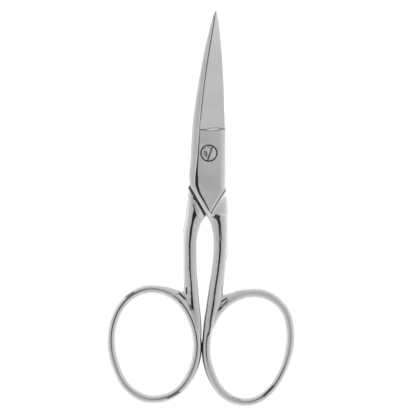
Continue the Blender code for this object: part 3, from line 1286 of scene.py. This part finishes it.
    def strand_height(self, distance: float, width: float, plain: float, half: float) -> float:
        """Work out the strand's half thickness beside its middle line.

        Args:
            distance: how far from the middle line.
            width: the strand's half width there, with its web.
            plain: its half width without a web.
            half: its half thickness at the middle line.

        Returns:
            The half thickness at that distance.
        """
        if width < plain * self.web_least_share:
            return half * math.sqrt(max(1 - (distance / width) ** 2, 0.0))
        knee = self.web_break_share * plain
        if distance < knee:
            return half * math.sqrt(1 - (distance / plain) ** 2)
        height = half * math.sqrt(1 - self.web_break_share**2) - self.web_slope * (distance - knee)
        height = max(height, self.web_least_height_share * half)
        rim = max(distance - (width - self.web_round), 0.0) / self.web_round
        return height * math.sqrt(max(1 - rim * rim, 0.0))

    def ring(self) -> bpy.types.Object:
        """Return the bow: a ring that is drawn into a leaning oval, with a web towards the shank.

        Returns:
            The bow.
        """
        radius = self.bow_half_length
        tube = self.strand_width / 2
        bpy.ops.object.select_all(action="DESELECT")
        bpy.ops.mesh.primitive_torus_add(
            major_radius=radius,
            minor_radius=tube,
            major_segments=self.bow_segments,
            minor_segments=self.strand_segments,
        )
        item = bpy.context.object
        item.name = "bow"
        for vertex in item.data.vertices:
            turn = math.atan2(vertex.co.y, -vertex.co.x)
            out = (math.hypot(vertex.co.x, vertex.co.y) - radius) / tube
            up = min(max(vertex.co.z / tube, -1.0), 1.0)
            plain = tube * self.swell(turn)
            half = self.strand_thickness / 2 * self.swell(turn)
            if self.side is Side.FRONT:
                low = ease((self.foot_end - turn) / self.foot_fade)
                half *= 1 - self.foot_thinning_share * low * ease(turn / self.foot_start)
            width = self.web_width(turn) if out > 0 else plain
            distance = abs(out) * width
            height = math.copysign(self.strand_height(distance, width, plain, half), up)
            place, normal = self.bow_frame(turn)
            place = place + normal * math.copysign(distance, out)
            vertex.co = self.world(place.x, place.y, place.z + height)
        Workshop.face_out(item)
        return item

    def relief(self) -> bpy.types.Object:
        """Return the cutter that makes room for the other half's lap.

        Returns:
            The cutter.
        """
        slope = self.bar.crossing_slope
        depth = self.plate.lap_thickness + self.relief_depth_over
        length = 2 * self.plate.lap_length + self.relief_length_over
        bpy.ops.object.select_all(action="DESELECT")
        bpy.ops.mesh.primitive_cube_add(size=1.0)
        item = bpy.context.object
        item.name = "relief"
        corner = Vector((self.plate.half_width + self.plate.flare, -self.plate.lap_length))
        corner += Vector((math.cos(slope), -math.sin(slope))) * self.shoulder_gap
        z = self.layout.middle_height + self.side.value * (self.plate.lap_gap / 2 - depth / 2)
        for vertex in item.data.vertices:
            across = (vertex.co.x - 0.5) * self.relief_width
            along = (vertex.co.y + self.relief_shift_share) * length
            x, y = turned(across, along, -slope)
            vertex.co = self.world(corner.x + x, corner.y + y, z + vertex.co.z * depth)
        Workshop.face_out(item, self.relief_cuts)
        Workshop.paint(item, Skin.JOINT.value)
        return item

    def inner_edge(self) -> tuple:
        """Return the handle's inner edge, from the bow up to the crossing, as rising y and their x.

        Returns:
            The rising y and the x.
        """
        edge = []
        for turn in np.linspace(*self.edge_turns, self.edge_points):
            place, normal = self.bow_frame(turn)
            place = place + normal * self.strand_width / 2 * self.swell(turn)
            edge.append((place.y, place.x))
        edge = [spot for spot in sorted(edge) if spot[0] < self.edge_join]
        for y in np.linspace(self.edge_join, self.edge_end, self.edge_points):
            edge.append((y, self.bar.edges(y, self.side)[0]))
        return tuple(zip(*edge))

    def build(self) -> bpy.types.Object:
        """Forge the shank and the bow into one body, and round the corner between them.

        Returns:
            The handle.
        """
        body = Workshop.join(self.shank(), self.ring())
        Workshop.fuse(body, self.voxel)
        Workshop.soften(body, np.ones(len(body.data.vertices)), self.body_smoothing)
        place, normal = self.bow_frame(self.corner_turn)
        corner = np.array(self.world(*(place + normal * self.corner_out)))
        near = np.linalg.norm(Workshop.places(body) - corner, axis=1) < self.corner_reach
        Workshop.soften(body, near, self.corner_smoothing)
        return body


@dataclass(frozen=True)
class ShadeAndWear:
    """Where one half gets painted shade and painted dark reflections, and where it is worn, in millimetres
    from the pivot on the side of its own handle.

    The painted shade along the inner edge, darkest where the bows touch, is (y, width, depth) from the bow
    up.
    A stroke paints a dark reflection or crease shade line, and a haze wears the polish; each is its start,
    its end, its half width and its strength. The wear goes round the bow as (degrees, amount).
    """

    edge_line: tuple
    strokes: tuple
    wear: tuple
    hazes: tuple = ()
    edge_sharpness: float = 1.4
    bow_top: float = -32.0
    bow_side: float = 6.5
    bow_fade: float = 0.5

    def painted_shade(self, x: np.ndarray, y: np.ndarray, edge: np.ndarray) -> np.ndarray:
        """Return how dark the painted shade and painted dark reflections make points.

        Args:
            x: the points' places across, in millimetres.
            y: their places along, in millimetres.
            edge: the x of the handle's inner edge beside each point.

        Returns:
            Each point's painted darkness, from 0 to 1.
        """
        spots, widths, depths = zip(*self.edge_line)
        share = 1 - (x - edge) / np.interp(y, spots, widths)
        depth = np.interp(y, spots, depths) * np.clip(share * self.edge_sharpness, 0.0, 1.0)
        depth[(y > spots[-1]) | (y < spots[0])] = 0.0
        return np.maximum(depth, Workshop.strokes(x, y, self.strokes))

    def worn(self, x: np.ndarray, y: np.ndarray, centre: Vector) -> np.ndarray:
        """Return how worn the polish is at points.

        Args:
            x: the points' places across, in millimetres.
            y: their places along, in millimetres.
            centre: the bow's middle, in millimetres.

        Returns:
            Each point's wear.
        """
        turn = np.degrees(np.arctan2(y - centre.y, x - centre.x)) % 360.0
        on_bow = np.clip(np.maximum((self.bow_top - y) / self.bow_fade, x - self.bow_side), 0.0, 1.0)
        wear = np.interp(turn, *zip(*self.wear)) * on_bow
        return np.maximum(wear, Workshop.strokes(x, y, self.hazes))


SHADES_AND_WEAR = {
    Side.FRONT: ShadeAndWear(
        edge_line=(
            (-55.5, 0.30, 0.0),
            (-53.0, 0.35, 0.3),
            (-50.0, 0.40, 0.6),
            (-48.0, 0.50, 0.7),
            (-45.7, 0.60, 0.75),
            (-42.0, 0.65, 0.75),
            (-38.5, 0.60, 0.8),
            (-36.0, 0.52, 0.8),
            (-33.0, 0.42, 0.7),
            (-29.0, 0.30, 0.6),
            (-25.0, 0.26, 0.45),
            (-20.0, 0.22, 0.3),
            (-17.0, 0.22, 0.3),
            (-15.0, 0.22, 0.0),
        ),
        strokes=(
            (4.41, -33.73, 5.52, -32.95, 0.15, 1.00),
            (3.46, -35.82, 4.50, -34.70, 0.07, 0.80),
            (4.50, -34.70, 5.65, -33.45, 0.11, 0.95),
            (4.32, -30.19, 4.48, -32.70, 0.12, 0.40),
            (14.83, -54.93, 16.81, -52.68, 0.22, 0.80),
            (7.54, -55.50, 9.62, -56.11, 0.10, 0.50),
        ),
        wear=(
            (0.0, 0.7), (20.0, 0.8), (40.0, 1.0), (100.0, 1.2), (115.0, 1.0), (130.0, 0.1), (150.0, 0.2),
            (190.0, 0.35), (205.0, 0.8), (220.0, 1.2), (245.0, 1.2), (270.0, 0.6), (295.0, 0.1), (320.0, 0.2),
            (340.0, 0.7), (360.0, 0.7),
        ),
    ),
    Side.REAR: ShadeAndWear(
        edge_line=(
            (-54.0, 0.25, 0.0),
            (-51.0, 0.25, 0.3),
            (-48.0, 0.32, 0.6),
            (-45.7, 0.50, 0.75),
            (-42.0, 0.50, 0.75),
            (-39.0, 0.36, 0.65),
            (-36.0, 0.30, 0.4),
            (-33.0, 0.24, 0.3),
            (-17.0, 0.22, 0.25),
            (-15.0, 0.22, 0.0),
        ),
        strokes=(
            (5.37, -32.23, 4.18, -33.37, 0.20, 1.00),
            (3.84, -30.90, 3.73, -32.30, 0.15, 1.00),
            (6.00, -32.40, 5.10, -32.50, 0.11, 0.50),
            (3.31, -25.66, 2.96, -29.30, 0.10, 0.45),
            (2.96, -29.30, 2.71, -31.80, 0.10, 0.25),
            (2.71, -31.80, 2.50, -33.63, 0.10, 0.55),
            (2.50, -33.63, 2.38, -35.45, 0.11, 0.85),
            (2.95, -34.90, 2.55, -35.30, 0.14, 0.90),
            (2.90, -11.40, 1.76, -13.64, 0.10, 0.50),
            (17.53, -33.54, 15.97, -32.41, 0.18, 0.70),
            (7.05, -56.20, 4.55, -54.78, 0.18, 0.75),
        ),
        wear=(
            (0.0, 0.2), (50.0, 0.1), (62.0, 0.2), (80.0, 0.5), (100.0, 0.6), (112.0, 0.4), (125.0, 0.1),
            (175.0, 0.1), (195.0, 0.5), (220.0, 0.6), (245.0, 0.4), (260.0, 0.5), (280.0, 0.8), (300.0, 0.6),
            (320.0, 0.8), (340.0, 0.6), (360.0, 0.2),
        ),
        hazes=(
            (3.57, -34.10, 2.80, -35.20, 0.25, 1.0),
            (2.30, -36.30, 1.60, -37.60, 0.42, 1.0),
            (1.60, -37.60, 1.10, -40.50, 0.36, 1.0),
        ),
    ),
}


@dataclass
class Half:
    """One whole half of the scissors."""

    layout: Layout
    side: Side
    name: str
    node: str
    body: str
    slot: str
    seat_radius: float = 1.98 * MM
    seat_depth: float = 1.08 * MM
    hole_radius: float = 1.35 * MM
    drill_overrun: float = 2.0 * MM
    drill_sides: int = 96
    back_share: float = 0.2
    plate: Plate = field(init=False)
    handle: Handle = field(init=False)

    def __post_init__(self) -> None:
        """Lay out the plate and the handle."""
        bar = Bar(self.layout)
        self.plate = Plate(self.layout, self.side, bar)
        self.handle = Handle(self.layout, self.side, bar, self.plate)

    def drill(self, radius: float, low: float, high: float) -> bpy.types.Object:
        """Return a round cutter on the pivot's axis.

        Args:
            radius: the cutter's radius.
            low: the height of its lower end.
            high: the height of its upper end.

        Returns:
            The cutter.
        """
        bpy.ops.object.select_all(action="DESELECT")
        bpy.ops.mesh.primitive_cylinder_add(vertices=self.drill_sides, radius=radius, depth=high - low)
        item = bpy.context.object
        item.data.transform(item.matrix_world)
        for vertex in item.data.vertices:
            vertex.co += self.layout.pivot + Vector((0.0, 0.0, (low + high) / 2))
        Workshop.paint(item, Skin.JOINT.value)
        return item

    def mark(self, piece: bpy.types.Object) -> None:
        """Note on the piece's points its painted shade and painted dark reflections, and where its polish is
        worn.

        Args:
            piece: the whole half.
        """
        shade_and_wear = SHADES_AND_WEAR[self.side]
        places = (Workshop.places(piece) - np.array(self.layout.pivot)) / MM
        x, y = places[:, 0] * self.side.value, places[:, 1]
        edge = np.interp(y, *(np.array(self.handle.inner_edge()) / MM))
        painted_shade = shade_and_wear.painted_shade(x, y, edge)
        # Only the upper faces get painted shade and painted dark reflections; points near the floor get none.
        painted_shade[places[:, 2] < self.layout.middle_height * self.back_share / MM] = 0.0
        Workshop.note(piece, "painted_shade", painted_shade)
        Workshop.note(piece, "wear", shade_and_wear.worn(x, y, self.handle.bow_centre() / MM))

    def build(self, skins: list) -> bpy.types.Object:
        """Model the half.

        Args:
            skins: the materials, in the order of Skin.

        Returns:
            The finished piece.
        """
        piece = self.plate.build(self.name)
        handle = self.handle.build()
        relief = self.handle.relief()
        top = 2 * self.layout.middle_height
        hole = self.drill(self.hole_radius, -self.drill_overrun, top + self.drill_overrun)
        Workshop.dress(skins, piece, handle, relief, hole)
        Workshop.combine(handle, relief, Join.CUT)
        Workshop.combine(piece, handle, Join.UNION)
        Workshop.combine(piece, hole, Join.CUT)
        if self.side is Side.FRONT:
            seat = self.drill(self.seat_radius, top - self.seat_depth, top + self.drill_overrun)
            Workshop.dress(skins, seat)
            Workshop.combine(piece, seat, Join.CUT)
        self.mark(piece)
        Workshop.shade(piece)
        piece.name = self.name
        piece.data.name = self.name
        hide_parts(self.node)
        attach(piece, self.body)
        return piece


@dataclass
class PivotScrew:
    """The slotted screw, its head sunk in the front lap."""

    layout: Layout
    head_radius: float = 1.68 * MM
    head_thickness: float = 0.8 * MM
    crown: float = 0.04 * MM
    edge: float = 0.14 * MM
    stem_radius: float = 1.1 * MM
    stem_recess: float = 0.25 * MM
    slot_width: float = 0.44 * MM
    slot_shift: float = 0.28 * MM
    slot_depth: float = 0.4 * MM
    slot_turn: float = math.radians(-17.5)
    slot_length: float = 5.04 * MM
    crown_points: int = 11
    edge_points: int = 6
    sides: int = 96
    # Dark blotches painted on the head beside the slot, through the same painted darkening as the halves'
    # shade.
    marks: tuple = (
        (-0.66, 0.28, -0.55, -0.60, 0.20, 0.75),
        (-1.15, 0.98, -0.80, 1.10, 0.14, 0.45),
        (0.25, 1.05, 0.30, 0.80, 0.14, 0.40),
    )

    def build(self, skins: list) -> bpy.types.Object:
        """Turn the screw, and cut its slot.

        Args:
            skins: the materials of the turned faces and of the slot.

        Returns:
            The finished piece.
        """
        top = 2 * self.layout.middle_height
        profile = []
        for share in even_shares(self.crown_points) + [1.0]:
            radius = (self.head_radius - self.edge) * share
            profile.append((radius, top + self.crown * (1 - share * share)))
        for i in range(self.edge_points):
            turn = math.pi / 2 * (i + 1) / self.edge_points
            radius = self.head_radius - self.edge * (1 - math.sin(turn))
            profile.append((radius, top - self.edge * (1 - math.cos(turn))))
        floor = top - self.head_thickness
        profile += [(self.head_radius, floor), (self.stem_radius, floor)]
        profile += [(self.stem_radius, self.stem_recess), (0.0, self.stem_recess)]
        turns = [2 * math.pi * i / self.sides for i in range(self.sides)]
        rings = [[(r * math.cos(turn), r * math.sin(turn), z) for turn in turns] for r, z in profile]
        rings = np.array(rings) + np.array(self.layout.pivot)
        piece = Workshop.rolled_grid("slotted_pivot_screw", rings, np.zeros((len(rings) - 1, self.sides)))
        bpy.ops.object.select_all(action="DESELECT")
        bpy.ops.mesh.primitive_cube_add(size=1.0)
        slot = bpy.context.object
        for vertex in slot.data.vertices:
            across = vertex.co.x * self.slot_width + self.slot_shift
            along = vertex.co.y * self.slot_length
            z = top + self.crown + vertex.co.z * 2 * (self.slot_depth + self.crown)
            vertex.co = self.layout.pivot + Vector((*turned(across, along, self.slot_turn), z))
        Workshop.paint(slot, 1)
        Workshop.dress(skins, piece, slot)
        Workshop.combine(piece, slot, Join.CUT)
        places = (Workshop.places(piece) - np.array(self.layout.pivot)) / MM
        # The head's painted dark blotches go into the painted shade attribute.
        Workshop.note(piece, "painted_shade", Workshop.strokes(places[:, 0], places[:, 1], self.marks))
        Workshop.shade(piece)
        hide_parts("pivot_screw")
        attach(piece, "rear")
        return piece


class Graph:
    """A node tree, with short ways to add its nodes and to wire them."""

    def __init__(self, tree: bpy.types.NodeTree) -> None:
        """Take up a node tree."""
        self.tree = tree

    def add(self, kind: str) -> bpy.types.Node:
        """Add a shader node."""
        return self.tree.nodes.new("ShaderNode" + kind)

    def put(self, socket: bpy.types.NodeSocket, value: object) -> None:
        """Link a socket into an input, or set the input to a value.

        Args:
            socket: the input.
            value: the value, or the socket that gives it.
        """
        if isinstance(value, bpy.types.NodeSocket):
            self.tree.links.new(value, socket)
        else:
            socket.default_value = value

    def math(self, operation: str, *values: object) -> bpy.types.NodeSocket:
        """Return a math node's result.

        Args:
            operation: what the node works out.
            values: its inputs' values, or the sockets that give them.

        Returns:
            The result's socket.
        """
        node = self.add("Math")
        node.operation = operation
        for socket, value in zip(node.inputs, values):
            self.put(socket, value)
        return node.outputs[0]

    def vector(self, operation: str, *values: object) -> bpy.types.Node:
        """Return a vector math node.

        Args:
            operation: what the node works out.
            values: its inputs' values, or the sockets that give them.

        Returns:
            The node.
        """
        node = self.add("VectorMath")
        node.operation = operation
        for socket, value in zip(node.inputs, values):
            self.put(socket, value)
        return node

    def noise(self, scale: float, detail: float, place: bpy.types.NodeSocket) -> bpy.types.NodeSocket:
        """Return a noise's value at a place.

        Args:
            scale: the noise's fineness.
            detail: the noise's detail.
            place: the socket that gives the place.

        Returns:
            The value's socket.
        """
        node = self.add("TexNoise")
        self.put(node.inputs["Vector"], place)
        self.put(node.inputs["Scale"], scale)
        self.put(node.inputs["Detail"], detail)
        return node.outputs["Fac"]

    def ramp(self, value: object, span: tuple, ends: tuple, kind: str = "SMOOTHSTEP") -> bpy.types.NodeSocket:
        """Map a value from one range to another.

        Args:
            value: the value, or the socket that gives it.
            span: the range that it comes from.
            ends: the range that it is mapped to.
            kind: the interpolation.

        Returns:
            The result's socket.
        """
        node = self.add("MapRange")
        node.interpolation_type = kind
        labels = ("Value", "From Min", "From Max", "To Min", "To Max")
        for label, part in zip(labels, (value, *span, *ends)):
            self.put(node.inputs[label], part)
        return node.outputs["Result"]


@dataclass(frozen=True)
class Finish:
    """How one kind of surface is finished."""

    name: str
    tone: float
    roughness: float
    grain: tuple
    grain_depth: float
    smudge: float
    blotch: float = 0.0
    shadow: float = 0.035

    def build(self, group: bpy.types.ShaderNodeTree) -> bpy.types.Material:
        """Return the finish as a material that runs through the shared node group.

        Args:
            group: the shared node group.

        Returns:
            The material.
        """
        material = bpy.data.materials.new(self.name)
        material.use_nodes = True
        graph = Graph(material.node_tree)
        shader = graph.tree.nodes["Principled BSDF"]
        graph.put(shader.inputs["Metallic"], 1.0)
        worn = graph.add("Group")
        worn.node_tree = group
        for label in ("tone", "shadow", "roughness", "grain", "grain_depth", "smudge", "blotch"):
            graph.put(worn.inputs[label], getattr(self, label))
        # Read the points' painted shade and their wear.
        for label in ("painted_shade", "wear"):
            layer = graph.add("Attribute")
            layer.attribute_name = label
            graph.put(worn.inputs[label], layer.outputs["Fac"])
        for socket, label in (("Base Color", "color"), ("Roughness", "roughness"), ("Normal", "normal")):
            graph.put(shader.inputs[socket], worn.outputs[label])
        return material


class WornAndShadedMetal(Graph):
    """The shared node group: polishing grain, smudges, blotches, painted shade and painted dark reflections,
    and wear over a plain tone.
    """

    floats = ("tone", "shadow", "roughness", "grain_depth", "smudge", "blotch", "painted_shade", "wear")
    results = (("color", "NodeSocketColor"), ("roughness", "NodeSocketFloat"), ("normal", "NodeSocketVector"))
    smudge_scale_and_detail = (230.0, 3.0)
    fleck_scale_and_detail = (1900.0, 2.0)
    blotch_scale_and_detail = (750.0, 1.0)
    grain_scale_and_detail = (1.0, 3.0)
    noise_span = (0.3, 0.7)
    blotch_span = (0.5, 0.66)
    fleck_share = 0.5
    worn_roughness = 0.40
    roughness_ends = (1.15, 0.85)

    def __init__(self) -> None:
        """Lay out the group's sockets and nodes."""
        super().__init__(bpy.data.node_groups.new("worn_metal_and_painted_shade", "ShaderNodeTree"))
        sockets = self.tree.interface
        for label in self.floats:
            sockets.new_socket(label, in_out="INPUT", socket_type="NodeSocketFloat")
        sockets.new_socket("grain", in_out="INPUT", socket_type="NodeSocketVector")
        for label, kind in self.results:
            sockets.new_socket(label, in_out="OUTPUT", socket_type=kind)
        self.given = self.tree.nodes.new("NodeGroupInput").outputs
        self.result = self.tree.nodes.new("NodeGroupOutput").inputs
        self.place = self.add("TexCoord").outputs["Object"]
        self.wire()

    def tone(self, wide: bpy.types.NodeSocket) -> bpy.types.NodeSocket:
        """Return the metal's tone: smudged, flecked, blotched, and darkened towards the shadow tone by
        painted shade and painted dark reflections.

        Args:
            wide: the smudges' noise.

        Returns:
            The tone's socket.
        """
        given = self.given
        low = self.math("SUBTRACT", 1.0, given["smudge"])
        high = self.math("ADD", 1.0, given["smudge"])
        smudge = self.ramp(wide, self.noise_span, (low, high))
        low = self.math("MULTIPLY_ADD", given["smudge"], -self.fleck_share, 1.0)
        high = self.math("MULTIPLY_ADD", given["smudge"], self.fleck_share, 1.0)
        flecks = self.noise(*self.fleck_scale_and_detail, self.place)
        fleck = self.ramp(flecks, self.noise_span, (low, high))
        spots = self.noise(*self.blotch_scale_and_detail, self.place)
        blotch = self.ramp(spots, self.blotch_span, (1.0, self.math("SUBTRACT", 1.0, given["blotch"])))
        tone = self.math("MULTIPLY", given["tone"], self.math("MULTIPLY", smudge, fleck))
        tone = self.math("MULTIPLY", tone, blotch)
        # Painted shade: the noted painted darkness pulls the tone down to the shadow tone.
        deep = self.math("MINIMUM", given["painted_shade"], 1.0)
        tone = self.math("MULTIPLY", tone, self.math("SUBTRACT", 1.0, deep))
        return self.math("ADD", tone, self.math("MULTIPLY", given["shadow"], deep))

    def wire(self) -> None:
        """Work out colour, roughness and normal."""
        wide = self.noise(*self.smudge_scale_and_detail, self.place)
        tone = self.tone(wide)
        colour = self.add("CombineColor")
        for socket in colour.inputs:
            self.put(socket, tone)
        rough = self.math("MULTIPLY_ADD", self.given["wear"], self.worn_roughness, self.given["roughness"])
        rough = self.math("MULTIPLY", rough, self.ramp(wide, self.noise_span, self.roughness_ends))
        stretched = self.vector("MULTIPLY", self.place, self.given["grain"]).outputs["Vector"]
        bump = self.add("Bump")
        self.put(bump.inputs["Height"], self.noise(*self.grain_scale_and_detail, stretched))
        self.put(bump.inputs["Distance"], self.given["grain_depth"])
        self.put(self.result["color"], colour.outputs["Color"])
        self.put(self.result["roughness"], rough)
        self.put(self.result["normal"], bump.outputs["Normal"])


FINISHES = (
    Finish("nickel_polished", 0.755, 0.06, (2500.0, 2500.0, 2500.0), 0.0012 * MM, 0.035),
    Finish("nickel_ground", 0.815, 0.5, (600.0, 9000.0, 9000.0), 0.004 * MM, 0.02),
    Finish("joint_faces", 0.42, 0.8, (4000.0, 4000.0, 4000.0), 0.003 * MM, 0.08),
    # Painted shade: a dark tone for the creases.
    Finish("painted_crease_shade", 0.13, 0.5, (4000.0, 4000.0, 4000.0), 0.002 * MM, 0.1),
)
SCREW_FINISHES = (
    Finish("screw_head", 0.96, 0.42, (5000.0, 900.0, 5000.0), 0.004 * MM, 0.04, 0.3),
    Finish("screw_slot", 0.45, 0.6, (4000.0, 4000.0, 4000.0), 0.004 * MM, 0.1),
)


@dataclass
class Studio:
    """The floor, the light tent with its dark opening, and the camera."""

    layout: Layout
    photo_side: int = 420
    pixel: float = 0.2284 * MM
    lens: float = 500.0
    sensor: float = 36.0
    azimuth: float = math.radians(-4.0)
    elevation: float = math.radians(0.0)
    roll: float = math.radians(2.2)
    pivot_pixel: tuple = (208.3, 153.2)
    opening_centre: tuple = (-0.111, 0.045)
    opening_wide: float = 0.22
    opening_high: float = 0.30
    opening_soft_share: float = 0.16
    opening_dark: float = 0.05
    zenith: float = 0.68
    horizon: float = 1.11
    clip_start: float = 0.01
    clip_end: float = 50.0
    floor_side: float = 4.0
    floor_tone: float = 0.45
    floor_roughness: float = 0.9
    floor_glow: float = 0.85

    def view_direction(self) -> Vector:
        """Return the unit vector from the object to the camera."""
        return Vector((math.sin(self.azimuth), math.sin(self.elevation), math.cos(self.azimuth))).normalized()

    def camera(self) -> None:
        """Place the long-lens camera over the scissors, framed as the photograph is."""
        data = bpy.data.cameras.new("camera")
        data.lens = self.lens
        data.sensor_width = self.sensor
        item = bpy.data.objects.new("camera", data)
        bpy.context.scene.collection.objects.link(item)
        back = self.view_direction()
        width = self.photo_side * self.pixel
        distance = width / 2 / (self.sensor / 2 / self.lens)
        up = Vector((math.sin(-self.roll), math.cos(self.roll), 0.0))
        right = up.cross(back).normalized()
        up = back.cross(right).normalized()
        centre = self.photo_side / 2
        pivot = self.layout.pivot + Vector((0.0, 0.0, self.layout.middle_height))
        aim = pivot - right * (self.pivot_pixel[0] - centre) * self.pixel
        aim = aim + up * (self.pivot_pixel[1] - centre) * self.pixel
        item.location = aim + back * distance
        turn = np.array([right, up, back]).T
        item.rotation_mode = "QUATERNION"
        item.rotation_quaternion = Matrix(turn.tolist()).to_quaternion()
        data.clip_start = self.clip_start
        data.clip_end = self.clip_end
        bpy.context.scene.camera = item

    def tent(self) -> None:
        """Light the scene by a white tent with a soft-edged dark opening beside the camera."""
        world = bpy.data.worlds.new("tent")
        bpy.context.scene.world = world
        world.use_nodes = True
        graph = Graph(world.node_tree)
        graph.tree.nodes.clear()
        place = graph.add("TexCoord").outputs["Generated"]
        facing = graph.vector("DOT_PRODUCT", place, self.view_direction()).outputs["Value"]
        span = (self.opening_high, math.pi / 2)
        sky = graph.ramp(graph.math("ARCCOSINE", facing), span, (self.zenith, self.horizon), "LINEAR")
        shift = graph.vector("SUBTRACT", place, (*self.opening_centre, 0.0)).outputs["Vector"]
        squash = (1 / self.opening_wide, 1 / self.opening_high, 0.0)
        oval = graph.vector("MULTIPLY", shift, squash).outputs["Vector"]
        reach = graph.vector("LENGTH", oval).outputs["Value"]
        span = (1 - self.opening_soft_share, 1 + self.opening_soft_share)
        opening = graph.ramp(reach, span, (self.opening_dark, 1.0))
        back = graph.add("Background")
        graph.put(back.inputs["Strength"], graph.math("MULTIPLY", sky, opening))
        graph.put(graph.add("OutputWorld").inputs["Surface"], back.outputs["Background"])

    def floor(self) -> None:
        """Lay a white floor under the scissors, which keeps their shadow."""
        bpy.ops.object.select_all(action="DESELECT")
        bpy.ops.mesh.primitive_plane_add(size=self.floor_side)
        item = bpy.context.object
        item.name = "floor"
        material = bpy.data.materials.new("floor_white")
        material.use_nodes = True
        graph = Graph(material.node_tree)
        shader = graph.tree.nodes["Principled BSDF"]
        graph.put(shader.inputs["Base Color"], (self.floor_tone, self.floor_tone, self.floor_tone, 1.0))
        graph.put(shader.inputs["Roughness"], self.floor_roughness)
        graph.put(shader.inputs["Emission Color"], (1.0, 1.0, 1.0, 1.0))
        ray = graph.add("LightPath").outputs
        seen = graph.math("MAXIMUM", ray["Is Camera Ray"], ray["Is Glossy Ray"])
        seen = graph.math("MAXIMUM", seen, ray["Is Transmission Ray"])
        graph.put(shader.inputs["Emission Strength"], graph.math("MULTIPLY", seen, self.floor_glow))
        item.data.materials.append(material)
        item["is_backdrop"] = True


def main() -> None:
    """Build the scissors, the studio and the camera."""
    logging.basicConfig(level=logging.INFO, format="%(message)s")
    layout = Layout.from_frame()
    group = WornAndShadedMetal().tree
    skins = [finish.build(group) for finish in FINISHES]
    for side, body in ((Side.FRONT, "front"), (Side.REAR, "rear")):
        half = Half(layout, side, body + "_scissor_half", body + "_half", body, body + "_half_nickel")
        piece = half.build(skins)
        log.info("%s: %d faces", piece.name, len(piece.data.polygons))
    screw = PivotScrew(layout).build([finish.build(group) for finish in SCREW_FINISHES])
    log.info("%s: %d faces", screw.name, len(screw.data.polygons))
    studio = Studio(layout)
    studio.floor()
    studio.tent()
    studio.camera()
    bpy.context.scene.view_settings.view_transform = "Standard"
    boxes = {"cad": cad_bounds, "visual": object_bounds()}
    boxes = {name: [list(corner) for corner in box] for name, box in boxes.items()}


if __name__ == "__main__":
    main()
